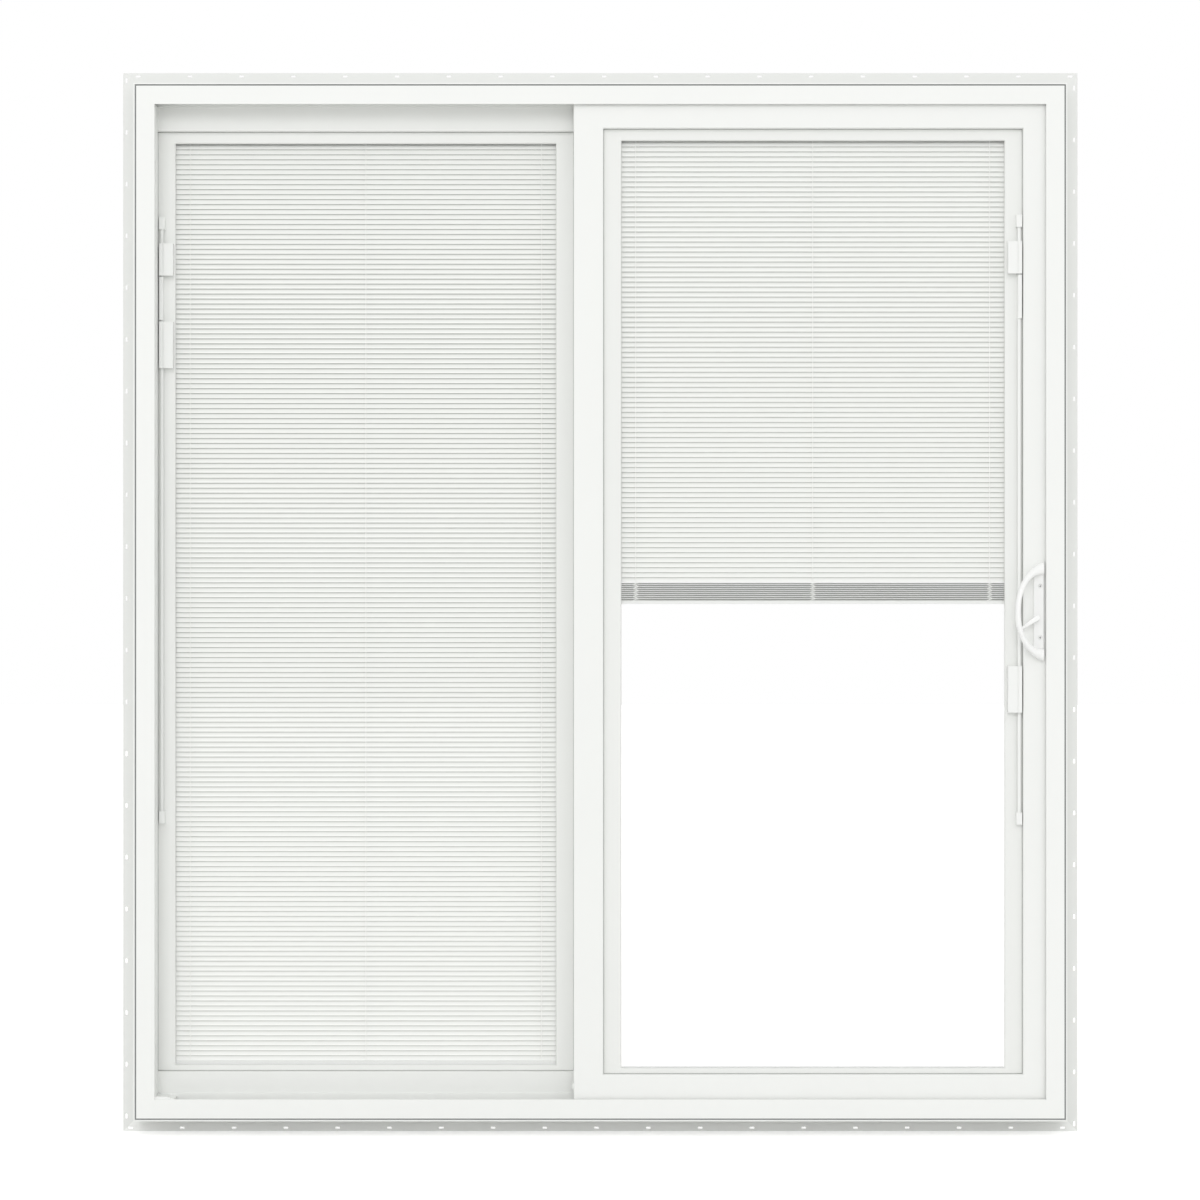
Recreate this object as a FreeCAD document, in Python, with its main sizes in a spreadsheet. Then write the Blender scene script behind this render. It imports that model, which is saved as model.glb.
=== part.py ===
"""Glass sliding patio door, a parametric document in millimetres.

X runs along the door, seen from the room with +X to the right. Y runs outwards, from the room to the outside.
Z is up. The origin is on the bearing face of the bottom nail fin, at the middle of its length and height.
"""

import FreeCAD, Part
import math
import os
import re
import Sketcher

doc = FreeCAD.newDocument("patio_door")

# Driving sizes: alias, value and meaning
SIZES = {
    # Frame
    "frame_width": (1816.0, "outer width of the frame"),
    "frame_height": (2019.3, "outer height of the frame"),
    "interior_depth": (65.0, "room face of the frame, ahead of the nail fin"),
    "exterior_depth": (51.0, "outside face of the frame, behind the nail fin's bearing face"),
    "head_face": (41.0, "height of the head's room face"),
    "jamb_face": (41.0, "width of each jamb's room face"),
    "sill_face": (42.4, "height of the sill's room face"),
    "leg_thickness": (5.0, "leg of the frame on the room side"),
    "pocket_floor": (19.0, "outer edge of the frame to the floor of the inner track"),
    "head_divider": (41.0, "outer edge of the frame to the tip of the divider in head and jambs"),
    "sill_divider": (48.2, "outer edge of the frame to the tip of the divider in the sill"),
    "weep_length": (25.0, "weep hole in the sill's outside face, end to end"),
    "weep_height": (5.0, "height of a weep hole"),
    "weep_depth": (3.0, "depth of a weep hole"),
    "weep_level": (9.0, "bottom of the frame to the middle of the weep holes"),
    "weep_inset": (300.0, "end of the sill to its outer weep holes"),
    "divider_thickness": (4.0, "wall between the two tracks"),
    "stop_thickness": (4.0, "stop behind the fixed panel"),
    "lip_thickness": (3.0, "outer lip of the screen track"),
    "lip_height": (36.0, "outer edge of the frame to the tip of the outer lip"),
    "screen_floor": (30.0, "outer edge of the frame to the floor of the screen track"),
    "ridge_width": (2.5, "outer rim of the room face, up to the groove"),
    "groove_width": (3.0, "groove round the room face"),
    "groove_depth": (4.0, "depth of that groove"),
    "rail_height": (8.0, "roller rail above the sill's track floor"),
    "rail_width": (3.0, "width of the roller rail"),
    # Nail fins
    "fin_reach": (28.2, "nail fin beyond the frame"),
    "fin_thickness": (2.0, "thickness of the nail fin"),
    "slot_length": (10.0, "nail slot, end to end"),
    "slot_height": (4.0, "nail slot, across"),
    "slot_edge": (6.5, "centre line of the slots to the fin's outer edge"),
    "slot_start": (14.4, "fin's end to the centre of its first slot"),
    "slot_pitch": (101.6, "slot to slot"),
    # Panels
    "running_gap": (5.0, "clearance each side of the sliding panel"),
    "panel_thickness": (38.0, "thickness of both panels"),
    "panel_edge": (24.65, "outer edge of the frame to the top and bottom edges of the panels"),
    "lock_edge": (26.6, "outer edge of the right jamb to the closed panel"),
    "fixed_edge": (9.0, "outer edge of the left jamb to the fixed panel"),
    "meeting_centre": (-23.0, "middle of the meeting stiles"),
    "stile_width": (58.0, "face width of the stiles"),
    "fixed_stile_width": (30.0, "stile of the fixed panel in the left jamb"),
    "top_rail_width": (62.3, "face height of the top rails"),
    "bottom_rail_width": (65.0, "face height of the bottom rails"),
    "flange_reach": (9.0, "glazing flange beyond the stile"),
    "flange_thickness": (3.0, "glazing flange on the outside"),
    "interlock_depth": (4.0, "interlock strip on the fixed meeting stile"),
    "interlock_width": (8.0, "width of the interlock strip"),
    "edge_chamfer": (1.5, "eased edges of stiles and rails"),
    "groove_clear": (5.5, "roller rail to the sides of the groove under the panel"),
    "groove_rise": (10.0, "depth of the groove under the sliding panel"),
    # Glazing
    "bead_thickness": (3.0, "thickness of the glazing bead"),
    "bead_side": (35.3, "width of the bead beside the glass"),
    "bead_top": (23.0, "height of the bead above the glass"),
    "bead_bottom": (12.0, "height of the bead below the glass"),
    "bead_slope": (30.0, "slope of the bead's edge at the glass, in degrees"),
    "pane_thickness": (3.0, "thickness of a glass pane"),
    "unit_thickness": (19.0, "both panes with the space between them"),
    "unit_edge": (5.0, "edge of the glass unit to the stile or rail"),
    "spacer_width": (7.0, "spacer round the edge of the glass unit"),
    # Blinds
    "slat_pitch": (9.785, "slat to slat"),
    "slat_width": (12.5, "width of a slat"),
    "slat_thickness": (0.4, "thickness of a slat"),
    "slat_crown": (0.8, "rise of a slat's middle"),
    "slat_tilt": (55.0, "tilt of the slats in degrees"),
    "slat_end_gap": (6.0, "ends of the slats to the spacer"),
    "slat_first": (4.7, "top edge of the visible glass to the first slat"),
    "hanging_slats": (88.0, "hanging slats of the sliding panel"),
    "stack_layers": (9.0, "layers of the gathered slats"),
    "stack_pitch": (3.9, "layer to layer"),
    "stack_layer": (3.5, "thickness of a layer"),
    "stack_gap": (0.3, "last hanging slat to the gathered slats"),
    "blind_rail_height": (7.0, "height of the blind's bottom rail"),
    "blind_rail_depth": (11.0, "depth of the blind's bottom rail"),
    "headrail_height": (11.0, "height of the blind's headrail"),
    "headrail_wall": (1.2, "wall of the blind's headrail"),
    "ladder_inset": (28.0, "visible glass edge to the middle of the outer ladder cords"),
    "ladder_width": (1.2, "width of a ladder cord"),
    "ladder_thickness": (0.6, "thickness of a ladder cord"),
    "ladder_gap": (0.3, "ladder cords to the slats' edges"),
    # Blind operators
    "operator_drop": (145.3, "top edge of the visible glass to the operator's top"),
    "operator_length": (1188.0, "length of the operator with its caps"),
    "operator_inset": (7.4, "stile to the middle of the operator rail"),
    "operator_rail_width": (5.6, "width of the operator rail"),
    "operator_rail_depth": (4.0, "thickness of the operator rail"),
    "operator_rail_lift": (4.0, "bead to the operator rail"),
    "cap_width": (11.2, "width of an end cap"),
    "cap_length": (23.5, "length of an end cap"),
    "cap_depth": (12.0, "height of an end cap over the bead"),
    "slider_near": (2.6, "stile to the near side of the sliders"),
    "slider_groove_near": (9.9, "stile to the near side of the sliders' groove"),
    "slider_groove_far": (11.5, "stile to the far side of the sliders' groove"),
    "slider_far": (29.6, "stile to the far side of the sliders"),
    "slider_depth": (16.8, "height of the sliders over the bead"),
    "slider_clear": (0.6, "sliders to the bead and to the rail"),
    "slider_groove_depth": (1.5, "depth of the sliders' groove"),
    "tilt_drop": (51.5, "operator's top to the tilt slider"),
    "tilt_length": (63.2, "length of the tilt slider"),
    "stop_drop": (117.1, "operator's top to the stop"),
    "stop_length": (84.4, "length of the stop between the sliders"),
    "stop_depth": (13.5, "height of the stop over the bead"),
    "lift_length": (91.0, "length of a lift slider"),
    "fixed_lift_drop": (204.9, "operator's top to the fixed panel's lift slider"),
    "sliding_lift_drop": (878.7, "operator's top to the sliding panel's lift slider"),
    # Handle and lock
    "handle_height": (990.4, "bottom of the frame to the middle of the handle's screws"),
    "handle_clear": (5.0, "handle to the edge of the right jamb"),
    "plate_width": (18.5, "width of the handle's plate"),
    "plate_top": (74.0, "plate above the middle of the screws"),
    "plate_bottom": (74.0, "plate below the middle of the screws"),
    "plate_thickness": (8.0, "thickness of the handle's plate"),
    "screw_spread": (100.2, "one handle screw to the other"),
    "screw_inset": (6.3, "plate's straight edge to the middle of its screws"),
    "screw_recess": (4.4, "radius of the round recess for a screw's head"),
    "recess_depth": (2.4, "depth of that recess"),
    "bow_top": (84.5, "middle of the screws up to the end of the bow's line"),
    "bow_bottom": (83.0, "middle of the screws down to the end of the bow's line"),
    "bow_reach": (58.6, "bow's outermost line to its straight edge"),
    "bow_past": (8.0, "ends of the bow's line beyond that edge"),
    "bow_stand": (48.0, "bow's front over the stile's face"),
    "bow_squareness": (0.92, "1 for an elliptic bow, less for one with squarer shoulders"),
    "bow_width": (10.0, "width of the bow's grip"),
    "bow_depth": (12.0, "thickness of the bow's grip"),
    "bow_foot_width": (30.0, "height of a foot of the bow"),
    "bow_foot_depth": (26.0, "thickness of a foot of the bow, square to its arm"),
    "lever_thickness": (4.0, "thickness of the thumb lever"),
    "lever_depth": (8.0, "depth of the thumb lever"),
    "lever_stand": (13.0, "stile's face to the back of the thumb lever"),
    "lever_length": (32.0, "length of the thumb lever"),
    "lever_drop": (39.0, "angle of the thumb lever below the level, in degrees"),
    "lever_pivot": (11.7, "lever's pivot below the middle of the screws"),
    "lever_hub": (5.0, "radius of the lever's hub"),
    "lever_clear": (0.3, "lever's hub to the handle's plate"),
    "pull_length": (180.0, "length of the outside pull"),
    "pull_width": (22.0, "width of the outside pull"),
    "pull_depth": (26.0, "outside pull over the stile"),
    "pull_wall": (3.0, "wall of the outside pull"),
    "pull_inset": (12.0, "outside pull to the opening's side of the stile"),
    "faceplate_length": (140.0, "length of the lock's faceplate"),
    "faceplate_width": (20.0, "width of the lock's faceplate"),
    "faceplate_thickness": (2.0, "thickness of the lock's faceplate and of the keeper"),
    "keeper_length": (120.0, "length of the keeper"),
    "hook_slot_length": (30.0, "slots for the lock's hooks, in the faceplate and the keeper"),
    "hook_slot_width": (8.0, "width of those slots"),
    "hook_slot_spread": (60.0, "one hook slot to the other"),
    "hook_depth": (14.0, "depth of the lock's mortises in the stile"),
    # Rollers and bumper
    "wheel_radius": (12.0, "rim of a roller"),
    "wheel_width": (6.0, "width of a roller"),
    "wheel_groove": (1.0, "depth of the roller's groove"),
    "wheel_axle": (3.0, "radius of a roller's axle"),
    "wheel_inset": (90.0, "end of the panel to a roller's axle"),
    "wheel_gap": (0.3, "roller to rail"),
    "wheel_clear": (2.0, "roller to its pocket"),
    "bumper_length": (38.0, "length of the bumper block"),
    "bumper_flat": (24.0, "length of the bumper block's flat top"),
    "bumper_rise": (4.6, "bumper block above the sill's room leg"),
    "cover_depth": (2.0, "wall of the jamb cover"),
}

sheet = doc.addObject("Spreadsheet::Sheet", "sizes")
for row, (alias, (value, meaning)) in enumerate(SIZES.items(), start=1):
    sheet.set(f"A{row}", meaning)
    sheet.set(f"B{row}", str(value))
    sheet.setAlias(f"B{row}", alias)
doc.recompute()


def sized(text):
    """The expression, with each size's name pointed at its cell."""
    return re.sub(r"[a-z]\w*", lambda word: "sizes." + word[0] if word[0] in SIZES else word[0], text)


def value_of(text):
    """The expression's present value."""
    result = sheet.evalExpression(sized(text))
    return float(getattr(result, "Value", result))


# Places worked out from the driving sizes
FRAME_RIGHT = "(frame_width / 2)"
FRAME_BOTTOM = "(fin_reach / 2)"
FRAME_TOP = f"({FRAME_BOTTOM} + frame_height)"
FIN_RIGHT = f"({FRAME_RIGHT} + fin_reach)"
FIN_TOP = f"({FRAME_TOP} + fin_reach)"
FIN_BOTTOM = f"({FRAME_BOTTOM} - fin_reach)"
LEG_BACK = "(leg_thickness - interior_depth)"
PANEL_FRONT = f"({LEG_BACK} + running_gap)"
PANEL_BACK = f"({PANEL_FRONT} + panel_thickness)"
DIVIDER_FRONT = f"({PANEL_BACK} + running_gap)"
FIXED_FRONT = f"({DIVIDER_FRONT} + divider_thickness)"
FIXED_BACK = f"({FIXED_FRONT} + panel_thickness)"
STOP_BACK = f"({FIXED_BACK} + stop_thickness)"
LIP_FRONT = "(exterior_depth - lip_thickness)"
TRACK_MIDDLE = f"({PANEL_FRONT} + panel_thickness / 2)"
MEETING_LEFT = "(meeting_centre - stile_width / 2)"
MEETING_RIGHT = "(meeting_centre + stile_width / 2)"
PANEL_TOP = f"({FRAME_TOP} - panel_edge)"
PANEL_BOTTOM = f"({FRAME_BOTTOM} + panel_edge)"
OPENING_TOP = f"({PANEL_TOP} - top_rail_width)"
OPENING_BOTTOM = f"({PANEL_BOTTOM} + bottom_rail_width)"
GLASS_TOP = f"({OPENING_TOP} - bead_top)"
GLASS_BOTTOM = f"({OPENING_BOTTOM} + bead_bottom)"
TRACK_FLOOR = f"({FRAME_BOTTOM} + pocket_floor)"
RAIL_TOP = f"({TRACK_FLOOR} + rail_height)"
OPERATOR_TOP = f"({GLASS_TOP} - operator_drop)"
HANDLE_LEVEL = f"({FRAME_BOTTOM} + handle_height)"
HANDLE_RIGHT = f"({FRAME_RIGHT} - jamb_face - handle_clear)"


class Panel:
    """Outline of one panel: its edges, its glazed opening and its front and back faces."""

    def __init__(self, name, left, right, left_stile, right_stile, front):
        self.name = name
        self.left = left
        self.right = right
        self.left_stile = left_stile
        self.right_stile = right_stile
        self.front = front
        self.back = f"({front} + panel_thickness)"
        self.open_left = f"({left} + {left_stile})"
        self.open_right = f"({right} - {right_stile})"
        self.unit_back = f"({self.back} - flange_thickness)"
        self.unit_front = f"({self.unit_back} - unit_thickness)"
        self.bead_front = f"({self.unit_front} - bead_thickness)"
        self.cavity_front = f"({self.unit_front} + pane_thickness)"
        self.cavity_back = f"({self.unit_back} - pane_thickness)"
        self.cavity_middle = f"({self.unit_front} + unit_thickness / 2)"
        self.unit_left = f"({self.open_left} + unit_edge)"
        self.unit_right = f"({self.open_right} - unit_edge)"
        self.unit_top = f"({OPENING_TOP} - unit_edge)"
        self.unit_bottom = f"({OPENING_BOTTOM} + unit_edge)"


FIXED = Panel("fixed", f"(fixed_edge - {FRAME_RIGHT})", MEETING_RIGHT,
              "fixed_stile_width", "stile_width", FIXED_FRONT)
SLIDING = Panel("sliding", MEETING_LEFT, f"({FRAME_RIGHT} - lock_edge)",
                "stile_width", "stile_width", PANEL_FRONT)


def new_body(label):
    """An empty body with its own name; it may hold several separate solids."""
    body = doc.addObject("PartDesign::Body", label)
    body.Label = label
    body.AllowCompound = True
    return body


def plane_of(body, role):
    """One of the body's own origin planes or axes."""
    return next(item for item in body.Origin.OriginFeatures if item.Role == role)


def new_sketch(body, role, offset=None):
    """A sketch on an origin plane, moved along the plane's normal by an expression."""
    sketch = body.newObject("Sketcher::SketchObject", f"{body.Label}_sketch")
    sketch.AttachmentSupport = [(plane_of(body, role), "")]
    sketch.MapMode = "FlatFace"
    if offset is not None:
        sketch.setExpression("AttachmentOffset.Base.z", sized(offset))
    return sketch


def draw_outline(sketch, corners):
    """A closed outline through corners given as pairs of expressions."""
    places = [FreeCAD.Vector(value_of(across), value_of(along), 0) for across, along in corners]
    first = sketch.GeometryCount
    count = len(corners)
    for index in range(count):
        sketch.addGeometry(Part.LineSegment(places[index], places[(index + 1) % count]))
    for index in range(count):
        following = first + (index + 1) % count
        sketch.addConstraint(Sketcher.Constraint("Coincident", first + index, 2, following, 1))
    for index, (across, along) in enumerate(corners):
        for kind, text in (("DistanceX", across), ("DistanceY", along)):
            size = places[index].x if kind == "DistanceX" else places[index].y
            number = sketch.addConstraint(Sketcher.Constraint(kind, -1, 1, first + index, 1, size))
            sketch.setExpression(f"Constraints[{number}]", sized(text))


def rectangle(left, right, bottom, top):
    """Corners of a rectangle."""
    return [(left, bottom), (right, bottom), (right, top), (left, top)]


def pad(body, sketch, length, middle=False, backwards=False):
    """A pad of the sketch along its normal."""
    feature = body.newObject("PartDesign::Pad", f"{body.Label}_pad")
    feature.Profile = sketch
    feature.setExpression("Length", sized(length))
    feature.Midplane = middle
    feature.Reversed = backwards
    body.Tip = feature
    return feature


def pocket(body, sketch, length, middle=False, backwards=False):
    """A pocket of the sketch, checked to take something away."""
    doc.recompute()
    before = body.Shape.Volume
    feature = body.newObject("PartDesign::Pocket", f"{body.Label}_pocket")
    feature.Profile = sketch
    feature.setExpression("Length", sized(length))
    feature.Midplane = middle
    feature.Reversed = backwards
    body.Tip = feature
    doc.recompute()
    if body.Shape.Volume >= before:
        raise RuntimeError(f"{body.Label}: the pocket takes nothing away")
    return feature


def pattern(body, feature, axis, count, length, backwards=False):
    """Copies of a feature in a row along one of the body's axes."""
    row_of = body.newObject("PartDesign::LinearPattern", f"{body.Label}_row")
    row_of.Originals = [feature]
    row_of.Direction = (plane_of(body, axis), [""])
    row_of.Reversed = backwards
    row_of.setExpression("Occurrences", sized(count))
    row_of.setExpression("Length", sized(length))
    body.Tip = row_of
    return row_of


def prism(label, role, corners, start, end):
    """A straight piece of one outline, from one place to another along the plane's normal."""
    body = new_body(label)
    sketch = new_sketch(body, role, start)
    draw_outline(sketch, corners)
    pad(body, sketch, f"({end}) - ({start})")
    return body


def level_prism(label, corners, front, back):
    """A piece whose outline lies in X and Z, from its front face to its back face along Y."""
    body = new_body(label)
    sketch = new_sketch(body, "XZ_Plane", f"-({front})")
    draw_outline(sketch, corners)
    pad(body, sketch, f"({back}) - ({front})", backwards=True)
    return body


def mitre(body, ends):
    """Cuts each end along the line through two corners; the third corner lies on the waste side."""
    sketch = new_sketch(body, "XZ_Plane")
    for corners in ends:
        draw_outline(sketch, corners)
    pocket(body, sketch, "4 * (interior_depth + exterior_depth)", middle=True)


def mitre_waste(corner_x, corner_z, side, rise, across, along, upright=False):
    """Triangle that a member loses at a corner; across and along lead from the corner down the mitre line.

    Side and rise are 1 or -1 and point into the frame.
    """
    far_x = f"({corner_x} + {side} * {across})"
    far_z = f"({corner_z} + {rise} * {along})"
    third = (far_x, corner_z) if upright else (corner_x, far_z)
    return [(corner_x, corner_z), (far_x, far_z), third]


def frame_section(face, divider, outer_pocket):
    """Section of a frame member: place along Y, and depth in from the frame's outer edge."""
    groove_end = "(ridge_width + groove_width)"
    room = "-interior_depth"
    groove_back = "(groove_depth - interior_depth)"
    return [
        (room, "0"), (room, "ridge_width"), (groove_back, "ridge_width"), (groove_back, groove_end),
        (room, groove_end), (room, face), (LEG_BACK, face), (LEG_BACK, "pocket_floor"),
        (DIVIDER_FRONT, "pocket_floor"), (DIVIDER_FRONT, divider), (FIXED_FRONT, divider),
        (FIXED_FRONT, outer_pocket), (FIXED_BACK, outer_pocket), (FIXED_BACK, face), (STOP_BACK, face),
        (STOP_BACK, "screen_floor"), (LIP_FRONT, "screen_floor"), (LIP_FRONT, "lip_height"),
        ("exterior_depth", "lip_height"), ("exterior_depth", "0"),
    ]


def roller_rail():
    """The roller rail's part of the sill section, between the leg and the divider."""
    left = f"({TRACK_MIDDLE} - rail_width / 2)"
    right = f"({TRACK_MIDDLE} + rail_width / 2)"
    tip = "(pocket_floor + rail_height)"
    return [(left, "pocket_floor"), (left, tip), (right, tip), (right, "pocket_floor")]


def frame_members():
    """Head, sill and jambs, mitred at the corners."""
    left = f"(-{FRAME_RIGHT})"
    reach = "(2 * sill_divider)"
    head = [(y, f"{FRAME_TOP} - {v}") for y, v in frame_section("head_face", "head_divider", "panel_edge")]
    sill_section = frame_section("sill_face", "sill_divider", "panel_edge")
    sill_section[8:8] = roller_rail()
    sill = [(y, f"{FRAME_BOTTOM} + {v}") for y, v in sill_section]
    for label, section, level, rise in (("frame_head", head, FRAME_TOP, "-1"),
                                        ("frame_sill", sill, FRAME_BOTTOM, "1")):
        body = prism(label, "YZ_Plane", section, left, FRAME_RIGHT)
        mitre(body, [mitre_waste(left, level, "1", rise, reach, reach),
                     mitre_waste(FRAME_RIGHT, level, "-1", rise, reach, reach)])
        if label == "frame_sill":
            weep_holes(body)
    left_section = frame_section("jamb_face", "jamb_face", "fixed_edge")
    right_section = frame_section("jamb_face", "jamb_face", "jamb_face")
    for label, section, side in (("frame_jamb_left", left_section, "1"),
                                 ("frame_jamb_right", right_section, "-1")):
        edge = f"(-({side}) * {FRAME_RIGHT})"
        corners = [(f"{edge} + {side} * {v}", y) for y, v in unique(section)]
        body = prism(label, "XY_Plane", corners, FRAME_BOTTOM, FRAME_TOP)
        mitre(body, [mitre_waste(edge, FRAME_TOP, side, "-1", reach, reach, upright=True),
                     mitre_waste(edge, FRAME_BOTTOM, side, "1", reach, reach, upright=True)])


def weep_holes(sill):
    """Three drain slots in the sill's outside face."""
    sketch = new_sketch(sill, "XZ_Plane", "-(exterior_depth)")
    for middle in (f"(weep_inset - {FRAME_RIGHT})", "0", f"({FRAME_RIGHT} - weep_inset)"):
        draw_outline(sketch, plain_slot(middle, f"({FRAME_BOTTOM} + weep_level)",
                                        "weep_length", "weep_height", True))
    pocket(sill, sketch, "weep_depth", backwards=True)


def unique(corners):
    """The corners without those that repeat the one before or lie in line with their neighbours."""
    kept = []
    for corner in corners:
        if not kept or corner != kept[-1]:
            kept.append(corner)
    straight = []
    for index, corner in enumerate(kept):
        before = kept[index - 1]
        after = kept[(index + 1) % len(kept)]
        if not (before[1] == corner[1] == after[1]):
            straight.append(corner)
    return straight


def nail_fins():
    """Four thin fins round the frame, each with a row of nail slots, mitred at the corners."""
    left = f"(-{FIN_RIGHT})"
    frame_left = f"(-{FRAME_RIGHT})"
    across = "((frame_width + 2 * fin_reach - slot_start) / slot_pitch)"
    upright = "((frame_height + 2 * fin_reach - slot_start) / slot_pitch)"
    fins = [
        ("fin_top", [(left, FIN_TOP), (FIN_RIGHT, FIN_TOP), (FRAME_RIGHT, FRAME_TOP),
                     (frame_left, FRAME_TOP)],
         "X_Axis", f"{FIN_RIGHT} - slot_start", f"{FIN_TOP} - slot_edge", across, True),
        ("fin_bottom", [(left, FIN_BOTTOM), (FIN_RIGHT, FIN_BOTTOM), (FRAME_RIGHT, FRAME_BOTTOM),
                        (frame_left, FRAME_BOTTOM)],
         "X_Axis", f"{left} + slot_start", f"{FIN_BOTTOM} + slot_edge", across, False),
        ("fin_left", [(left, FIN_BOTTOM), (left, FIN_TOP), (frame_left, FRAME_TOP),
                      (frame_left, FRAME_BOTTOM)],
         "Z_Axis", f"{left} + slot_edge", f"{FIN_TOP} - slot_start", upright, True),
        ("fin_right", [(FIN_RIGHT, FIN_BOTTOM), (FIN_RIGHT, FIN_TOP), (FRAME_RIGHT, FRAME_TOP),
                       (FRAME_RIGHT, FRAME_BOTTOM)],
         "Z_Axis", f"{FIN_RIGHT} - slot_edge", f"{FIN_BOTTOM} + slot_start", upright, False),
    ]
    for label, corners, axis, slot_x, slot_z, count, backwards in fins:
        level = axis == "X_Axis"
        last = f"floor({count} - 0.1)"
        body = level_prism(label, corners, "0", "fin_thickness")
        sketch = new_sketch(body, "XZ_Plane")
        draw_outline(sketch, plain_slot(slot_x, slot_z, "slot_length", "slot_height", level))
        cut = pocket(body, sketch, "4 * fin_thickness", middle=True)
        pattern(body, cut, axis, f"{last} + 1", f"{last} * slot_pitch", backwards)
        sketch = new_sketch(body, "XZ_Plane")
        for number in ("0", *ANCHOR_SLOTS[label], last):
            shift = f"{'-' if backwards else '+'} {number} * slot_pitch"
            if level:
                draw_slot(sketch, f"{slot_x} {shift}", slot_z, level)
            else:
                draw_slot(sketch, slot_x, f"{slot_z} {shift}", level)
        pocket(body, sketch, "4 * fin_thickness", middle=True)


# Inner slots that the frame is anchored by, beside the first and the last: places in their rows
ANCHOR_SLOTS = {"fin_top": (), "fin_bottom": ("6", "12"), "fin_left": ("7", "13"), "fin_right": ()}


def plain_slot(centre_x, centre_z, length, height, level):
    """Outline of a slot whose round ends have three straight sides each."""
    reach = f"(({length} - {height}) / 2)"
    radius = f"({height} / 2)"
    corners = []
    for turn in (-90, -45, 45, 90, 90, 135, 225, 270):
        way = "1" if turn < 90 or len(corners) == 3 else "-1"
        along = f"({way} * {reach} + {radius} * cos({turn}deg))"
        side = f"({radius} * sin({turn}deg))"
        if level:
            corners.append((f"{centre_x} + {along}", f"{centre_z} + {side}"))
        else:
            corners.append((f"{centre_x} - {side}", f"{centre_z} + {along}"))
    return corners


def draw_slot(sketch, centre_x, centre_z, level):
    """A slot with round ends, lying or standing."""
    half = "((slot_length - slot_height) / 2)"
    middle = FreeCAD.Vector(value_of(centre_x), value_of(centre_z), 0)
    reach = value_of(half)
    radius = value_of("slot_height / 2")
    along = FreeCAD.Vector(1, 0, 0) if level else FreeCAD.Vector(0, 1, 0)
    side = FreeCAD.Vector(-along.y, along.x, 0)
    turn = 0.0 if level else math.pi / 2
    normal = FreeCAD.Vector(0, 0, 1)
    first = sketch.GeometryCount
    for way, start in ((1, turn - math.pi / 2), (-1, turn + math.pi / 2)):
        circle = Part.Circle(middle + along * (way * reach), normal, radius)
        sketch.addGeometry(Part.ArcOfCircle(circle, start, start + math.pi))
    for way, begin in ((1, 1), (-1, -1)):
        start = middle + along * (begin * reach) + side * (way * radius)
        end = middle - along * (begin * reach) + side * (way * radius)
        sketch.addGeometry(Part.LineSegment(start, end))
    joins = ((0, 2, 2, 1), (2, 2, 1, 1), (1, 2, 3, 1), (3, 2, 0, 1))
    for one, end_one, two, end_two in joins:
        sketch.addConstraint(Sketcher.Constraint("Tangent", first + one, end_one, first + two, end_two))
    radius_number = sketch.addConstraint(Sketcher.Constraint("Radius", first, radius))
    sketch.setExpression(f"Constraints[{radius_number}]", sized("slot_height / 2"))
    for arc, way in ((first, 1), (first + 1, -1)):
        shift = f"({way} * {half})"
        x_text = f"{centre_x} + {shift}" if level else centre_x
        z_text = centre_z if level else f"{centre_z} + {shift}"
        pairs = [("DistanceX", x_text), ("DistanceY", z_text)]
        if arc != first:
            pairs = pairs[:1] if level else pairs[1:]
        for kind, text in pairs:
            number = sketch.addConstraint(Sketcher.Constraint(kind, -1, 1, arc, 3, value_of(text)))
            sketch.setExpression(f"Constraints[{number}]", sized(text))


def draw_circle(sketch, centre_x, centre_z, radius):
    """A circle round a place given as two expressions."""
    number = sketch.GeometryCount
    centre = FreeCAD.Vector(value_of(centre_x), value_of(centre_z), 0)
    sketch.addGeometry(Part.Circle(centre, FreeCAD.Vector(0, 0, 1), value_of(radius)))
    for kind, text in (("DistanceX", centre_x), ("DistanceY", centre_z)):
        bound = sketch.addConstraint(Sketcher.Constraint(kind, -1, 1, number, 3, value_of(text)))
        sketch.setExpression(f"Constraints[{bound}]", sized(text))
    bound = sketch.addConstraint(Sketcher.Constraint("Radius", number, value_of(radius)))
    sketch.setExpression(f"Constraints[{bound}]", sized(radius))


def sash_section(width):
    """Section of a stile or rail: depth behind the panel's face, and place in from the panel's edge."""
    inner = f"({width} + flange_reach)"
    flange = "(panel_thickness - flange_thickness)"
    return [
        ("edge_chamfer", "0"), ("0", "edge_chamfer"), ("0", f"({width} - edge_chamfer)"),
        ("edge_chamfer", width), (flange, width), (flange, inner), ("panel_thickness", inner),
        ("panel_thickness", "0"),
    ]


def rail_groove():
    """The groove along the underside of the sliding panel's bottom rail, which the roller rail runs in."""
    near = "(panel_thickness / 2 - rail_width / 2 - groove_clear)"
    far = "(panel_thickness / 2 + rail_width / 2 + groove_clear)"
    return [(far, "0"), (far, "groove_rise"), (near, "groove_rise"), (near, "0")]


def interlock(width):
    """The interlock strip's part of the fixed meeting stile's section."""
    near = f"({width} / 2 - interlock_width / 2)"
    far = f"({width} / 2 + interlock_width / 2)"
    return [("0", near), ("-interlock_depth", near), ("-interlock_depth", far), ("0", far)]


def sash_mitre(edge, level, side, rise, width, height, upright=False):
    """Waste of a stile or rail, along the line from the panel's corner to its glazed opening's corner."""
    reach = f"(2 + flange_reach / {width})"
    return mitre_waste(edge, level, side, rise, f"{reach} * {width}", f"{reach} * {height}", upright)


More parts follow.
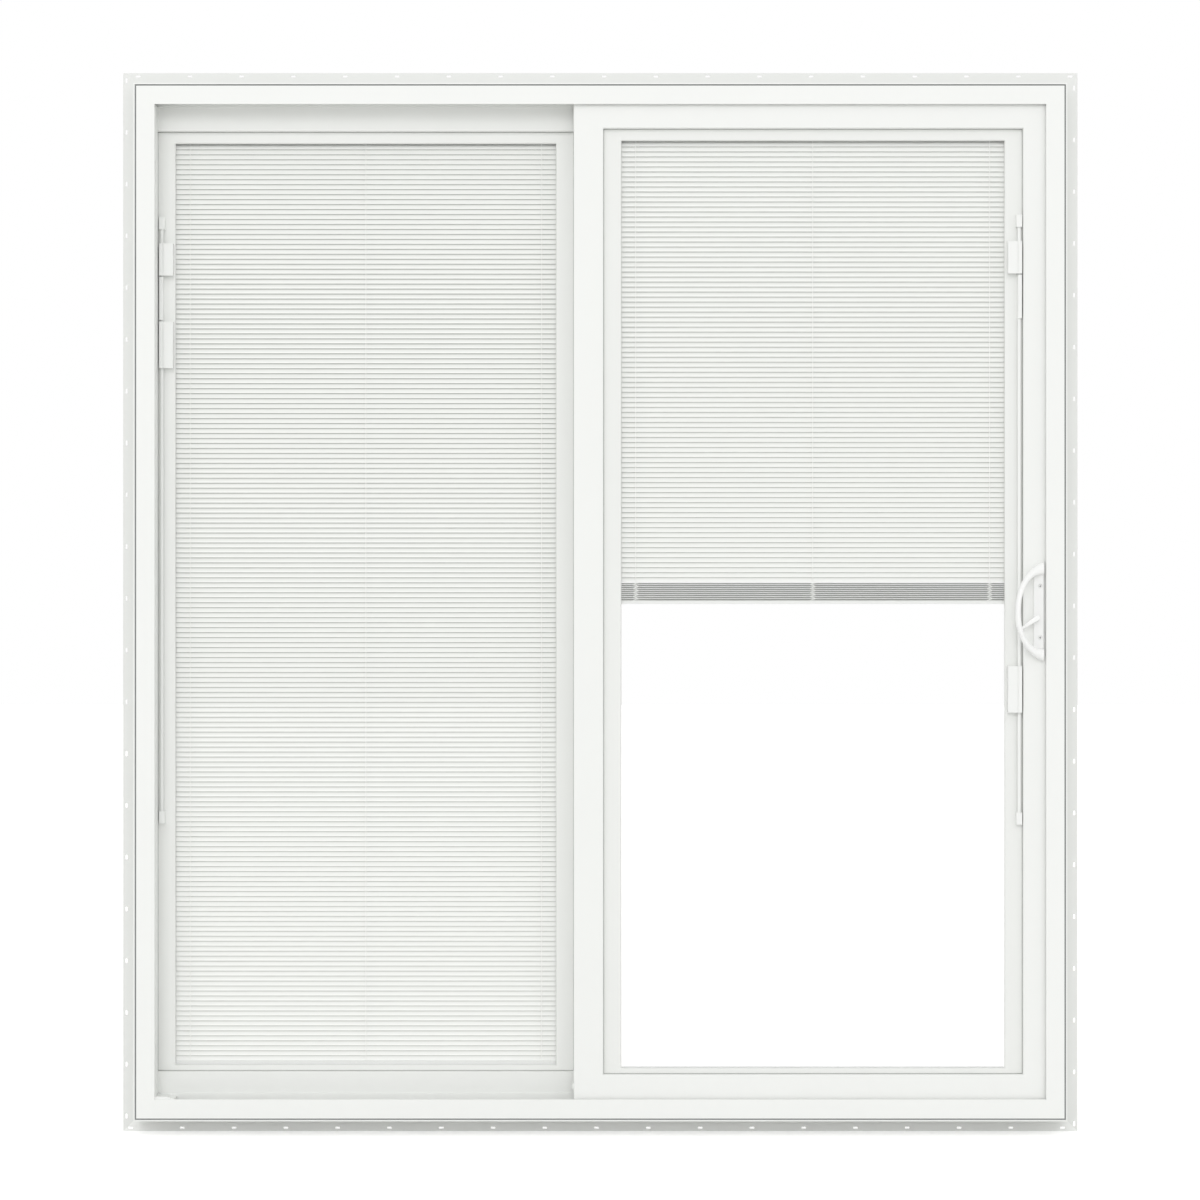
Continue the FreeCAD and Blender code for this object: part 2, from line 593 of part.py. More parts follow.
def panel_members(panel):
    """Stiles and rails of a panel, mitred from its corners to the corners of its glazed opening."""
    name = panel.name
    top_section = [(f"{panel.front} + {d}", f"{PANEL_TOP} - {v}") for d, v in sash_section("top_rail_width")]
    bottom = sash_section("bottom_rail_width")
    if panel is SLIDING:
        bottom = bottom + rail_groove()
    bottom_section = [(f"{panel.front} + {d}", f"{PANEL_BOTTOM} + {v}") for d, v in bottom]
    for label, section, level, rise, height in (
            (f"{name}_rail_top", top_section, PANEL_TOP, "-1", "top_rail_width"),
            (f"{name}_rail_bottom", bottom_section, PANEL_BOTTOM, "1", "bottom_rail_width")):
        body = prism(label, "YZ_Plane", section, panel.left, panel.right)
        mitre(body, [sash_mitre(panel.left, level, "1", rise, panel.left_stile, height),
                     sash_mitre(panel.right, level, "-1", rise, panel.right_stile, height)])
    left_label, right_label = stile_labels(panel)
    for label, edge, side, width in ((left_label, panel.left, "1", panel.left_stile),
                                     (right_label, panel.right, "-1", panel.right_stile)):
        section = sash_section(width)
        if label == "fixed_stile_meeting":
            section[2:2] = interlock(width)
        corners = [(f"{edge} + {side} * {v}", f"{panel.front} + {d}") for d, v in section]
        body = prism(label, "XY_Plane", corners, PANEL_BOTTOM, PANEL_TOP)
        mitre(body, [sash_mitre(edge, PANEL_TOP, side, "-1", width, "top_rail_width", upright=True),
                     sash_mitre(edge, PANEL_BOTTOM, side, "1", width, "bottom_rail_width", upright=True)])
        if panel is SLIDING:
            notch_foot(body)


def notch_foot(body):
    """Carries the groove for the roller rail through the foot of a stile."""
    near = f"({TRACK_MIDDLE} - rail_width / 2 - groove_clear)"
    far = f"({TRACK_MIDDLE} + rail_width / 2 + groove_clear)"
    below = f"({PANEL_BOTTOM} - groove_rise)"
    sketch = new_sketch(body, "YZ_Plane")
    draw_outline(sketch, rectangle(near, far, below, f"({PANEL_BOTTOM} + groove_rise)"))
    pocket(body, sketch, "2 * frame_width", middle=True)


def stile_labels(panel):
    """Names of the left and right stiles."""
    if panel is FIXED:
        return "fixed_stile_jamb", "fixed_stile_meeting"
    return "sliding_stile_meeting", "sliding_stile_lock"


def glazing(panel):
    """Bead, glass unit and blind headrail of a panel."""
    name = panel.name
    glass_left = f"({panel.open_left} + bead_side)"
    glass_right = f"({panel.open_right} - bead_side)"
    body = level_prism(f"{name}_glazing_bead",
                       rectangle(panel.open_left, panel.open_right, OPENING_BOTTOM, OPENING_TOP),
                       panel.bead_front, panel.unit_front)
    sketch = new_sketch(body, "XZ_Plane", f"-{panel.unit_front}")
    draw_outline(sketch, rectangle(glass_left, glass_right, GLASS_BOTTOM, GLASS_TOP))
    opening = pocket(body, sketch, "bead_thickness", backwards=True)
    opening.setExpression("TaperAngle", sized("bead_slope"))

    body = new_body(f"{name}_glass_panes")
    sketch = new_sketch(body, "XZ_Plane", f"-{panel.unit_front}")
    draw_outline(sketch, rectangle(panel.unit_left, panel.unit_right, panel.unit_bottom, panel.unit_top))
    pane = pad(body, sketch, "pane_thickness", backwards=True)
    pattern(body, pane, "Y_Axis", "2", "unit_thickness - pane_thickness")

    body = new_body(f"{name}_glass_spacer")
    sketch = new_sketch(body, "XZ_Plane", f"-{panel.cavity_front}")
    draw_outline(sketch, rectangle(panel.unit_left, panel.unit_right, panel.unit_bottom, panel.unit_top))
    draw_outline(sketch, rectangle(f"{panel.unit_left} + spacer_width", f"{panel.unit_right} - spacer_width",
                                   f"{panel.unit_bottom} + spacer_width", f"{panel.unit_top} - spacer_width"))
    pad(body, sketch, "unit_thickness - 2 * pane_thickness", backwards=True)


def slat_section(panel, level):
    """Section of a tilted slat with a crowned room face, its room edge low."""
    half = "(slat_width / 2)"
    points = [(f"(-{half})", "0"), (half, "0"), (half, "slat_thickness"),
              ("0", "(slat_crown + slat_thickness)"), (f"(-{half})", "slat_thickness")]
    turned = []
    for along, up in points:
        y = f"{panel.cavity_middle} + {along} * cos(slat_tilt * 1deg) - {up} * sin(slat_tilt * 1deg)"
        z = f"{level} + {along} * sin(slat_tilt * 1deg) + {up} * cos(slat_tilt * 1deg)"
        turned.append((y, z))
    return turned


def blind(panel, slats, rail_level):
    """Headrail, slats, ladder cords and bottom rail between the panes; the level is the rail's underside."""
    name = panel.name
    start = f"({panel.unit_left} + spacer_width + slat_end_gap)"
    end = f"({panel.unit_right} - spacer_width - slat_end_gap)"
    first = f"({GLASS_TOP} - slat_first)"
    body = new_body(f"{name}_blind_slats")
    sketch = new_sketch(body, "YZ_Plane", start)
    draw_outline(sketch, slat_section(panel, first))
    slat = pad(body, sketch, f"{end} - {start}")
    pattern(body, slat, "Z_Axis", slats, f"({slats} - 1) * slat_pitch", backwards=True)
    if panel is SLIDING:
        top = f"({stack_top()})"
        sketch = new_sketch(body, "YZ_Plane", start)
        draw_outline(sketch, rectangle(f"{panel.cavity_middle} - slat_width / 2",
                                       f"{panel.cavity_middle} + slat_width / 2",
                                       f"{top} - stack_layer", top))
        layer = pad(body, sketch, f"{end} - {start}")
        pattern(body, layer, "Z_Axis", "stack_layers", "(stack_layers - 1) * stack_pitch", backwards=True)

    half = "(blind_rail_depth / 2)"
    prism(f"{name}_blind_bottom_rail", "YZ_Plane",
          rectangle(f"{panel.cavity_middle} - {half}", f"{panel.cavity_middle} + {half}",
                    rail_level, f"{rail_level} + blind_rail_height"),
          start, end)
    ceiling = f"({panel.unit_top} - spacer_width)"
    floor = f"({ceiling} - headrail_height)"
    near = f"({panel.cavity_middle} - {half})"
    far = f"({panel.cavity_middle} + {half})"
    prism(f"{name}_blind_headrail", "YZ_Plane",
          [(near, ceiling), (near, floor), (f"{near} + headrail_wall", floor),
           (f"{near} + headrail_wall", f"{ceiling} - headrail_wall"),
           (f"{far} - headrail_wall", f"{ceiling} - headrail_wall"), (f"{far} - headrail_wall", floor),
           (far, floor), (far, ceiling)], start, end)
    foot = f"({rail_level} + blind_rail_height)" if panel is FIXED else f"({stack_top()})"
    ladders(panel, foot, floor)


def ladders(panel, foot, top):
    """Front and back ladder cords at three places, along the edges of the hanging slats."""
    body = new_body(f"{panel.name}_blind_ladders")
    first = f"({panel.open_left} + bead_side + ladder_inset)"
    last = f"({panel.open_right} - bead_side - ladder_inset)"
    near = "(slat_width / 2 * cos(slat_tilt * 1deg) + slat_crown + ladder_gap)"
    left = f"({first} - ladder_width / 2)"
    sketch = new_sketch(body, "XY_Plane", foot)
    for side in ("-1", "1"):
        inner = f"({panel.cavity_middle} + {side} * {near})"
        outer = f"({panel.cavity_middle} + {side} * ({near} + ladder_thickness))"
        draw_outline(sketch, rectangle(left, f"({left} + ladder_width)", inner, outer))
    cords = pad(body, sketch, f"{top} - {foot}")
    pattern(body, cords, "X_Axis", "3", f"{last} - {first}")


def fixed_slats():
    """As many slats as hang clear over the fixed panel's bottom rail, which stands on the spacer."""
    floor = f"({FIXED.unit_bottom} + spacer_width + blind_rail_height)"
    low_edge = "slat_width / 2 * sin(slat_tilt * 1deg)"
    return f"(floor(({GLASS_TOP} - slat_first - {low_edge} - {floor}) / slat_pitch) + 1)"


def stack_top():
    """Top of the gathered slats, under the low edge of the last hanging slat."""
    low_edge = "slat_width / 2 * sin(slat_tilt * 1deg)"
    return f"{GLASS_TOP} - slat_first - (hanging_slats - 1) * slat_pitch - {low_edge} - stack_gap"


def operator(panel, edge, side, lift_drop):
    """Blind operator beside the glass: a rail with end caps and a stop, and two sliders.

    The edge is the side of the stile or jamb that the operator stands beside, and the side, 1 or -1,
    points from it towards the glass.
    """
    name = panel.name
    base = panel.bead_front

    def across(text):
        return f"({edge} + {side} * ({text}))"

    def out(text):
        return f"({base} - ({text}))"

    bottom = f"({OPERATOR_TOP} - operator_length)"
    rail_near = across("operator_inset - operator_rail_width / 2")
    rail_far = across("operator_inset + operator_rail_width / 2")
    rail_front = out("operator_rail_lift + operator_rail_depth")
    body = new_body(f"{name}_operator_rail")
    sketch = new_sketch(body, "XY_Plane", bottom)
    draw_outline(sketch, rectangle(rail_near, rail_far, out("operator_rail_lift"), rail_front))
    pad(body, sketch, "operator_length")
    for low, high, near, far, depth in (
            (f"({OPERATOR_TOP} - cap_length)", OPERATOR_TOP, "operator_inset - cap_width / 2",
             "operator_inset + cap_width / 2", "cap_depth"),
            (bottom, f"({bottom} + cap_length)", "operator_inset - cap_width / 2",
             "operator_inset + cap_width / 2", "cap_depth"),
            (f"({OPERATOR_TOP} - stop_drop - stop_length)", f"({OPERATOR_TOP} - stop_drop)", "slider_near",
             "slider_groove_near", "stop_depth")):
        sketch = new_sketch(body, "XY_Plane", low)
        draw_outline(sketch, [(across(near), base), (across(far), base), (across(far), out(depth)),
                              (across(near), out(depth))])
        pad(body, sketch, f"{high} - {low}")

    front = "slider_depth"
    over_rail = "operator_rail_lift + operator_rail_depth + slider_clear"
    section = [
        (across("slider_far"), out("slider_clear")), (across("slider_far"), out(front)),
        (across("slider_groove_far"), out(front)),
        (across("slider_groove_far"), out(f"{front} - slider_groove_depth")),
        (across("slider_groove_near"), out(f"{front} - slider_groove_depth")),
        (across("slider_groove_near"), out(front)), (across("slider_near"), out(front)),
        (across("slider_near"), out(over_rail)),
        (across("operator_inset + operator_rail_width / 2 + slider_clear"), out(over_rail)),
        (across("operator_inset + operator_rail_width / 2 + slider_clear"), out("slider_clear")),
    ]
    for kind, drop, length in (("tilt", "tilt_drop", "tilt_length"), ("lift", lift_drop, "lift_length")):
        high = f"({OPERATOR_TOP} - {drop})"
        prism(f"{name}_{kind}_slider", "XY_Plane", section, f"({high} - {length})", high)


def handle():
    """Bow handle, its plate and thumb lever on the lock stile, outside pull, lock faceplate and keeper."""
    face = PANEL_FRONT
    right = HANDLE_RIGHT
    level = HANDLE_LEVEL
    plate_left = f"({right} - plate_width)"
    plate = level_prism("handle_plate",
                        rectangle(plate_left, right, f"{level} - plate_bottom", f"{level} + plate_top"),
                        f"({face} - plate_thickness)", face)
    sketch = new_sketch(plate, "XZ_Plane", f"-({face} - plate_thickness)")
    for side in ("-1", "1"):
        draw_circle(sketch, f"{right} - screw_inset", f"{level} + {side} * screw_spread / 2", "screw_recess")
    pocket(plate, sketch, "recess_depth")
    bow(face, right, level)
    thumb_lever(face, plate_left, level)
    outside_pull(level)
    edge = SLIDING.right
    recess = f"({edge} - faceplate_thickness)"
    near = f"({TRACK_MIDDLE} - faceplate_width / 2)"
    far = f"({TRACK_MIDDLE} + faceplate_width / 2)"
    low = f"({level} - faceplate_length / 2)"
    high = f"({level} + faceplate_length / 2)"
    faceplate = prism("lock_faceplate", "XY_Plane", rectangle(recess, edge, near, far), low, high)
    hook_slots(faceplate, level, "frame_width", middle=True)
    stile = doc.getObject("sliding_stile_lock")
    sketch = new_sketch(stile, "YZ_Plane", recess)
    draw_outline(sketch, rectangle(near, far, low, high))
    pocket(stile, sketch, "2 * faceplate_thickness", backwards=True)
    hook_slots(stile, level, "hook_depth", offset=recess)
    floor = f"({FRAME_RIGHT} - pocket_floor)"
    keeper = prism("keeper", "XY_Plane", rectangle(f"{floor} - faceplate_thickness", floor, near, far),
                   f"({level} - keeper_length / 2)", f"({level} + keeper_length / 2)")
    hook_slots(keeper, level, "frame_width", middle=True)


def hook_slots(body, level, depth, offset="0", middle=False):
    """Two upright slots one above the other, through the middle of the track."""
    near = f"({TRACK_MIDDLE} - hook_slot_width / 2)"
    far = f"({near} + hook_slot_width)"
    sketch = new_sketch(body, "YZ_Plane", offset)
    for side in ("-1", "1"):
        low = f"({level} + {side} * hook_slot_spread / 2 - hook_slot_length / 2)"
        draw_outline(sketch, rectangle(near, far, low, f"({low} + hook_slot_length)"))
    pocket(body, sketch, depth, middle=middle)


# Stations from a foot of the bow to its middle: turn in degrees, share of the foot's size, depth behind it
BOW_STATIONS = [(90, 1, 1), (90, 1, 0), (76, 0.55, 0), (62, 0.2, 0), (40, 0, 0), (0, 0, 0)]

# Sides of the bow's ovals
OVAL_SIDES = 16


def bow(face, right, level):
    """The bow: ovals along a line that leans forward and towards the glass, lofted foot to foot.

    The line is half an ellipse with squarer shoulders. The feet run through the stile's face and past the
    plate's edge, and are then cut off flat there. The plate's ends lie in recesses of the feet.
    """
    body = new_body("handle_bow")
    run_x = "(bow_reach + bow_past - bow_width / 2)"
    run_y = "(bow_stand - bow_depth / 2)"
    run = f"sqrt({run_x} ^ 2 + {run_y} ^ 2)"
    lean = f"(180deg + atan2({run_y}; {run_x}))"
    stations = [("-1", "bow_bottom", *station) for station in BOW_STATIONS]
    stations += [("1", "bow_top", *station) for station in reversed(BOW_STATIONS[:-1])]
    sections = []
    for side, rise, turn, flare, past in stations:
        along = f"cos({turn}deg)"
        up = f"sin({turn}deg)"
        out = f"({along} ^ bow_squareness - {past} * bow_foot_depth / {run})"
        place = (f"vector({right} + bow_past - {run_x} * {out}; {face} - {run_y} * {out}; "
                 f"{level} + {side} * {rise} * {up} ^ bow_squareness)")
        pitch = (f"(0deg - {side} * atan2({run} * {up} ^ (2 - bow_squareness); "
                 f"{rise} * {along} ^ (2 - bow_squareness)))")
        turned = f"placement({place}; rotation({lean}; {pitch}; 0deg))"
        sketch = new_sketch(body, "XY_Plane")
        sketch.setExpression("AttachmentOffset", sized(turned))
        draw_outline(sketch, oval(bow_size("width", flare), bow_size("depth", flare)))
        sections.append(sketch)
    loft = body.newObject("PartDesign::AdditiveLoft", "bow_loft")
    loft.Profile = sections[0]
    loft.Sections = sections[1:]
    body.Tip = loft
    doc.recompute()

    top = f"({level} + 2 * bow_top)"
    bottom = f"({level} - 2 * bow_bottom)"
    sketch = new_sketch(body, "YZ_Plane", right)
    draw_outline(sketch, rectangle(f"({face} - 2 * bow_stand)", f"({face} + 2 * bow_stand)", bottom, top))
    pocket(body, sketch, "bow_reach", backwards=True)
    sketch = new_sketch(body, "XZ_Plane", f"-({face})")
    draw_outline(sketch, rectangle(f"({right} - 2 * bow_reach)", f"({right} + bow_reach)", bottom, top))
    pocket(body, sketch, "bow_stand")
    sketch = new_sketch(body, "XZ_Plane", f"-({face})")
    draw_outline(sketch, rectangle(f"({right} - plate_width)", f"({right} + plate_width)",
                                   f"({level} - plate_bottom)", f"({level} + plate_top)"))
    pocket(body, sketch, "plate_thickness", backwards=True)


def bow_size(side, flare):
    """Width or depth of the bow at a station, between its grip and its feet."""
    return f"(bow_{side} + {flare} * (bow_foot_{side} - bow_{side}))"


def oval(length, width):
    """Corners of an oval round the sketch's origin, its length along the first axis."""
    turns = [360 * (side + 0.5) / OVAL_SIDES for side in range(OVAL_SIDES)]
    return [(f"({length} / 2 * cos({turn}deg))", f"({width} / 2 * sin({turn}deg))") for turn in turns]


def thumb_lever(face, plate_left, level):
    """Thumb lever beside the handle's plate: a hub on the plate's front and a slanting arm."""
    body = new_body("thumb_lever")
    hub_x = f"({plate_left} + lever_hub)"
    hub_z = f"({level} - lever_pivot)"
    back = f"({face} - plate_thickness)"
    drop = "(lever_drop * 1deg)"
    half = "(lever_thickness / 2)"
    under = f"(-{half})"
    corners = []
    for along, up in (("0", half), ("lever_length", half), ("lever_length", under), ("0", under)):
        x = f"{hub_x} - {along} * cos({drop}) - {up} * sin({drop})"
        z = f"{hub_z} - {along} * sin({drop}) + {up} * cos({drop})"
        corners.append((x, z))
    sketch = new_sketch(body, "XZ_Plane", f"-({back} - lever_clear)")
    draw_circle(sketch, hub_x, hub_z, "lever_hub")
    pad(body, sketch, "lever_stand + lever_depth - plate_thickness - lever_clear")
    sketch = new_sketch(body, "XZ_Plane", f"-({face} - lever_stand)")
    draw_outline(sketch, corners)
    pad(body, sketch, "lever_depth")


def outside_pull(level):
    """Recessed grip on the outside of the lock stile: a channel open towards the fixed panel."""
    left = f"({SLIDING.open_right} + pull_inset)"
    right = f"({left} + pull_width)"
    inside = f"({right} - pull_wall)"
    foot = f"({PANEL_BACK} + pull_wall)"
    rim = f"({PANEL_BACK} + pull_depth)"
    prism("outside_pull", "XY_Plane",
          [(left, f"{rim} - pull_wall"), (inside, f"{rim} - pull_wall"), (inside, foot), (left, foot),
           (left, PANEL_BACK), (right, PANEL_BACK), (right, rim), (left, rim)],
          f"({level} - pull_length / 2)", f"({level} + pull_length / 2)")


def rollers():
    """Two grooved rollers under the sliding panel, in pockets of its bottom rail."""
    axle_z = f"({RAIL_TOP} + wheel_gap + wheel_radius - wheel_groove)"
    half = "(wheel_width / 2)"
    stub = "(rail_width / 2 + groove_clear)"
    rail = doc.getObject("sliding_rail_bottom")
    body = new_body("rollers")
    for axle_x in (f"({SLIDING.left} + wheel_inset)", f"({SLIDING.right} - wheel_inset)"):
        sketch = new_sketch(body, "YZ_Plane", axle_x)
        draw_outline(sketch, [
            (f"{TRACK_MIDDLE} - {stub}", axle_z), (f"{TRACK_MIDDLE} - {stub}", f"{axle_z} + wheel_axle"),
            (f"{TRACK_MIDDLE} - {half}", f"{axle_z} + wheel_axle"),
            (f"{TRACK_MIDDLE} - {half}", f"{axle_z} + wheel_radius"),
            (f"{TRACK_MIDDLE} - rail_width / 2", f"{axle_z} + wheel_radius - wheel_groove"),
            (f"{TRACK_MIDDLE} + rail_width / 2", f"{axle_z} + wheel_radius - wheel_groove"),
            (f"{TRACK_MIDDLE} + {half}", f"{axle_z} + wheel_radius"),
            (f"{TRACK_MIDDLE} + {half}", f"{axle_z} + wheel_axle"),
            (f"{TRACK_MIDDLE} + {stub}", f"{axle_z} + wheel_axle"), (f"{TRACK_MIDDLE} + {stub}", axle_z),
        ])
        wheel = body.newObject("PartDesign::Revolution", "wheel")
        wheel.Profile = sketch
        wheel.ReferenceAxis = (sketch, ["Edge10"])
        wheel.Angle = 360
        body.Tip = wheel
        sketch = new_sketch(rail, "XZ_Plane", f"-({TRACK_MIDDLE})")
        reach = "(wheel_radius + wheel_clear)"
        draw_outline(sketch, rectangle(f"{axle_x} - {reach}", f"{axle_x} + {reach}",
                                       f"{PANEL_BOTTOM} - wheel_clear", f"{axle_z} + {reach}"))
        pocket(rail, sketch, f"2 * {stub}", middle=True)


def small_frame_parts():
    """Cover in the left jamb's inner track and bumper block at the end of the sill's track."""
    left = f"(jamb_face - {FRAME_RIGHT})"
    floor = f"(pocket_floor - {FRAME_RIGHT})"
    top = f"({FRAME_TOP} - head_face)"
    bottom = f"({FRAME_BOTTOM} + sill_face)"
    inner = f"({left} - cover_depth)"
    near = f"({LEG_BACK} + cover_depth)"
    far = f"({DIVIDER_FRONT} - cover_depth)"
    prism("jamb_cover", "XY_Plane",
          [(floor, LEG_BACK), (left, LEG_BACK), (left, DIVIDER_FRONT), (floor, DIVIDER_FRONT),
           (floor, far), (inner, far), (inner, near), (floor, near)], bottom, top)
    block_top = f"({FRAME_BOTTOM} + sill_face + bumper_rise)"
    level_prism("bumper_block",
                [(left, RAIL_TOP), (f"{left} + bumper_length", RAIL_TOP),
                 (f"{left} + bumper_length", f"{FRAME_BOTTOM} + sill_face"),
                 (f"{left} + bumper_flat", block_top), (left, block_top)],
                LEG_BACK, DIVIDER_FRONT)


frame_members()
nail_fins()
small_frame_parts()
for one in (FIXED, SLIDING):
    panel_members(one)
    glazing(one)
blind(FIXED, fixed_slats(), f"({FIXED.unit_bottom} + spacer_width)")
blind(SLIDING, "hanging_slats", f"({stack_top()} - stack_layers * stack_pitch - blind_rail_height)")
operator(FIXED, f"(jamb_face - {FRAME_RIGHT})", "1", "fixed_lift_drop")
operator(SLIDING, SLIDING.open_right, "-1", "sliding_lift_drop")
handle()
rollers()
doc.recompute()

for item in doc.Objects:
    if {"Invalid", "Error"} & set(item.State):
        raise RuntimeError(f"{item.Label} failed: {item.State}")

bodies = [item for item in doc.Objects if item.isDerivedFrom("PartDesign::Body")]
for body in bodies:
    if body.Shape.isNull() or not body.Shape.isValid() or not body.Shape.Solids:
        raise RuntimeError(f"{body.Label} has no valid solid")

os.makedirs("parts", exist_ok=True)
for body in bodies:
    body.Shape.exportStep(f"parts/{body.Label}.step")
print(len(bodies), "nodes,", sum(len(body.Shape.Solids) for body in bodies), "solids")
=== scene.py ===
"""Glass sliding patio door: finishes, blinds, screws and seals, in a plain studio."""

import math

import bmesh
import bpy
from mathutils import Matrix, Vector


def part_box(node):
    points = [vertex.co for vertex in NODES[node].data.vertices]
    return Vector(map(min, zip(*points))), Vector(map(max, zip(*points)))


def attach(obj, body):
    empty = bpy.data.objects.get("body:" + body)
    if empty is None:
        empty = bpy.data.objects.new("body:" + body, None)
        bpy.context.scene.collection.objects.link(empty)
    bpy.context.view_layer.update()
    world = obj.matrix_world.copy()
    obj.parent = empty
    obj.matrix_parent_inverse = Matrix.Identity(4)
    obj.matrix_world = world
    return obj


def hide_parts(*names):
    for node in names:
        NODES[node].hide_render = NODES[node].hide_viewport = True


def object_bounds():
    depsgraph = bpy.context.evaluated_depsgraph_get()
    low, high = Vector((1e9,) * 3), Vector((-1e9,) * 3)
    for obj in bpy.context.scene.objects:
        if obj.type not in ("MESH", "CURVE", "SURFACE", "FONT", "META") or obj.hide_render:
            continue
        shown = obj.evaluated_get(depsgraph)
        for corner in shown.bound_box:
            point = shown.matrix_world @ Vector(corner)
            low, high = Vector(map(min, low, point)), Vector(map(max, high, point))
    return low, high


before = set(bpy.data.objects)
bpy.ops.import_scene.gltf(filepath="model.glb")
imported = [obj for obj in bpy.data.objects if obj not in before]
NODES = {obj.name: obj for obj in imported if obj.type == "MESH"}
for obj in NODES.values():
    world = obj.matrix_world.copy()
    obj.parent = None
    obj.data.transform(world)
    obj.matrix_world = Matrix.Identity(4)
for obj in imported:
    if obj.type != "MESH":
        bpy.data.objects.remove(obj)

CAD_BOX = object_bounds()
BODY_OF = {"fixed": "frame", "sliding": "sliding_panel"}

# Camera, from the photograph: its distance gives the shift between near and far faces
CAMERA_AT = (0.0, -7.265, 1.02375)
CAMERA_LENS = 111.09
SENSOR_WIDTH = 36.0
CAMERA_SHIFT = (-0.000275, 0.00173)

# Light, as plain levels: a surface that faces the front renders about as its colour is written
WORLD_LEVEL = 1.245
WORLD_SIDES = 0.45
SUN_LEVEL = 0.40
SUN_FROM = (-0.12, -1.0, 0.42)
SUN_SPREAD = math.radians(25.0)
SUN_DISTANCE = 4

# Floor: half its side and its gap under the door in metres, and its glow to the camera
FLOOR_SIZE = 30.0
FLOOR_SQUARES = 8
FLOOR_GAP = 0.0005
FLOOR_GLOW = 0.40
FLOOR_ROUGHNESS = 0.9

# Colours, linear
VINYL = (0.875, 0.885, 0.865)
SASH_VINYL = (0.865, 0.875, 0.855)
# Painted shade: the fixed panel's vinyl is the sash vinyl darkened for the shade it sits in, deep
# behind the frame's face
FIXED_SHADED_VINYL = (0.84, 0.85, 0.828)
BEAD_VINYL = (0.83, 0.84, 0.818)
# Painted shade: the fins' vinyl is the frame vinyl darkened for their shade behind the frame
FIN_SHADED_VINYL = (0.79, 0.80, 0.78)
BLIND_WHITE = (0.88, 0.89, 0.865)
# Painted shade: the gathered slats are the hanging slats' white, greyed for the shade inside the
# stack
GATHERED_SHADED_WHITE = (0.455, 0.475, 0.437)
BLIND_RAIL = (0.80, 0.81, 0.79)
HANDLE_WHITE = (0.935, 0.94, 0.93)
PLATE_WHITE = (0.865, 0.87, 0.86)
OPERATOR_WHITE = (0.87, 0.88, 0.862)
SPACER_GREY = (0.70, 0.71, 0.70)
STEEL = (0.60, 0.61, 0.62)
# Painted shade in the groove round the frame and in the screws' cross recesses
PAINTED_SHADE_GREY = (0.30, 0.31, 0.31)
PILE_GREY = (0.45, 0.46, 0.45)
GASKET_GREY = (0.55, 0.56, 0.55)
# A grey joint beside the glazing beads, darkened further as painted shade of the deep corner there
JOINT_AND_SHADE_GREY = (0.36, 0.37, 0.355)
FLOOR_WHITE = (0.90, 0.90, 0.89)

# Finishes: waves per metre of a noise, shares that a colour varies by, roughness from lowest to
# highest, and bumps as a strength and a height in metres
EVEN = (1.0, 1.0, 1.0)
NOISE_MIDDLE = (0.3, 0.7)
DIE_LINES = 420.0
DIE_LINE_RUN = 3.0
VINYL_CLOUD = 5.0
VINYL_ROUGHNESS = (0.34, 0.42)
VINYL_BUMP = (0.06, 0.0002)
VINYL_IOR = 1.52
MOULDED_CLOUD = 14.0
MOULDED_GRAIN = 1400.0
MOULDED_BUMP = 0.05
GRAIN_HEIGHT = 0.0002
CLOUD_SPREAD = 0.012
PAINT_STREAKS = (2.0, 300.0, 102.0)
PAINT_SPREAD = 0.015
PAINT_ROUGHNESS = (0.40, 0.50)
PAINT_BUMP = (0.03, 0.0001)
GLASS_WAVES = 2.2
GLASS_BUMP = (0.01, 0.0003)
GLASS_IOR = 1.46
BRUSH_LINES = (300.0, 300.0, 8.0)
BRUSH_SPREAD = 0.08
BRUSH_BUMP = (0.1, 0.0002)

# Painted shade on the slats where other slats shade them: its start and its full place in metres
# behind their middle, and its share
FIXED_SLAT_SHADE = (0.0002, 0.0030, 0.90)
SLIDING_SLAT_SHADE = (0.0002, 0.0030, 0.64)
GATHERED_SLAT_SHADE = (-0.0060, -0.0040, 0.70)
SHADE_DARKNESS = 0.55


def new_material(name):
    """A node material with its node tree and its Principled shader."""
    material = bpy.data.materials.new(name)
    material.use_nodes = True
    tree = material.node_tree
    return material, tree, tree.nodes["Principled BSDF"]


def add(tree, kind, **values):
    """A node with its properties and its unlinked inputs set by name."""
    node = tree.nodes.new(kind)
    for name, value in values.items():
        if name in node.inputs:
            node.inputs[name].default_value = value
        else:
            setattr(node, name, value)
    return node


def stretched(tree, scale):
    """Object coordinates stretched by a scale for each axis."""
    coords = add(tree, "ShaderNodeTexCoord")
    mapping = add(tree, "ShaderNodeMapping", Scale=scale)
    tree.links.new(coords.outputs["Object"], mapping.inputs["Vector"])
    return mapping.outputs["Vector"]


def noise(tree, scale, size, detail=3.0):
    """Noise of a size, over stretched object coordinates."""
    node = add(tree, "ShaderNodeTexNoise", Scale=size, Detail=detail)
    tree.links.new(stretched(tree, scale), node.inputs["Vector"])
    return node.outputs["Fac"]


def mapped(tree, value, start, end, low, high, **settings):
    """A value's range from start to end brought to the range from low to high."""
    node = add(tree, "ShaderNodeMapRange", **settings)
    ends = (("From Min", start), ("From Max", end), ("To Min", low), ("To Max", high))
    for name, number in ends:
        node.inputs[name].default_value = number
    tree.links.new(value, node.inputs["Value"])
    return node.outputs["Result"]


def mixed(tree, factor, first, second):
    """Two colours mixed by a factor. Each is a tuple or the output that gives it."""
    node = add(tree, "ShaderNodeMix", data_type="RGBA")
    tree.links.new(factor, node.inputs["Factor"])
    for name, colour in (("A", first), ("B", second)):
        if isinstance(colour, tuple):
            node.inputs[name].default_value = (*colour, 1)
        else:
            tree.links.new(colour, node.inputs[name])
    return node.outputs["Result"]


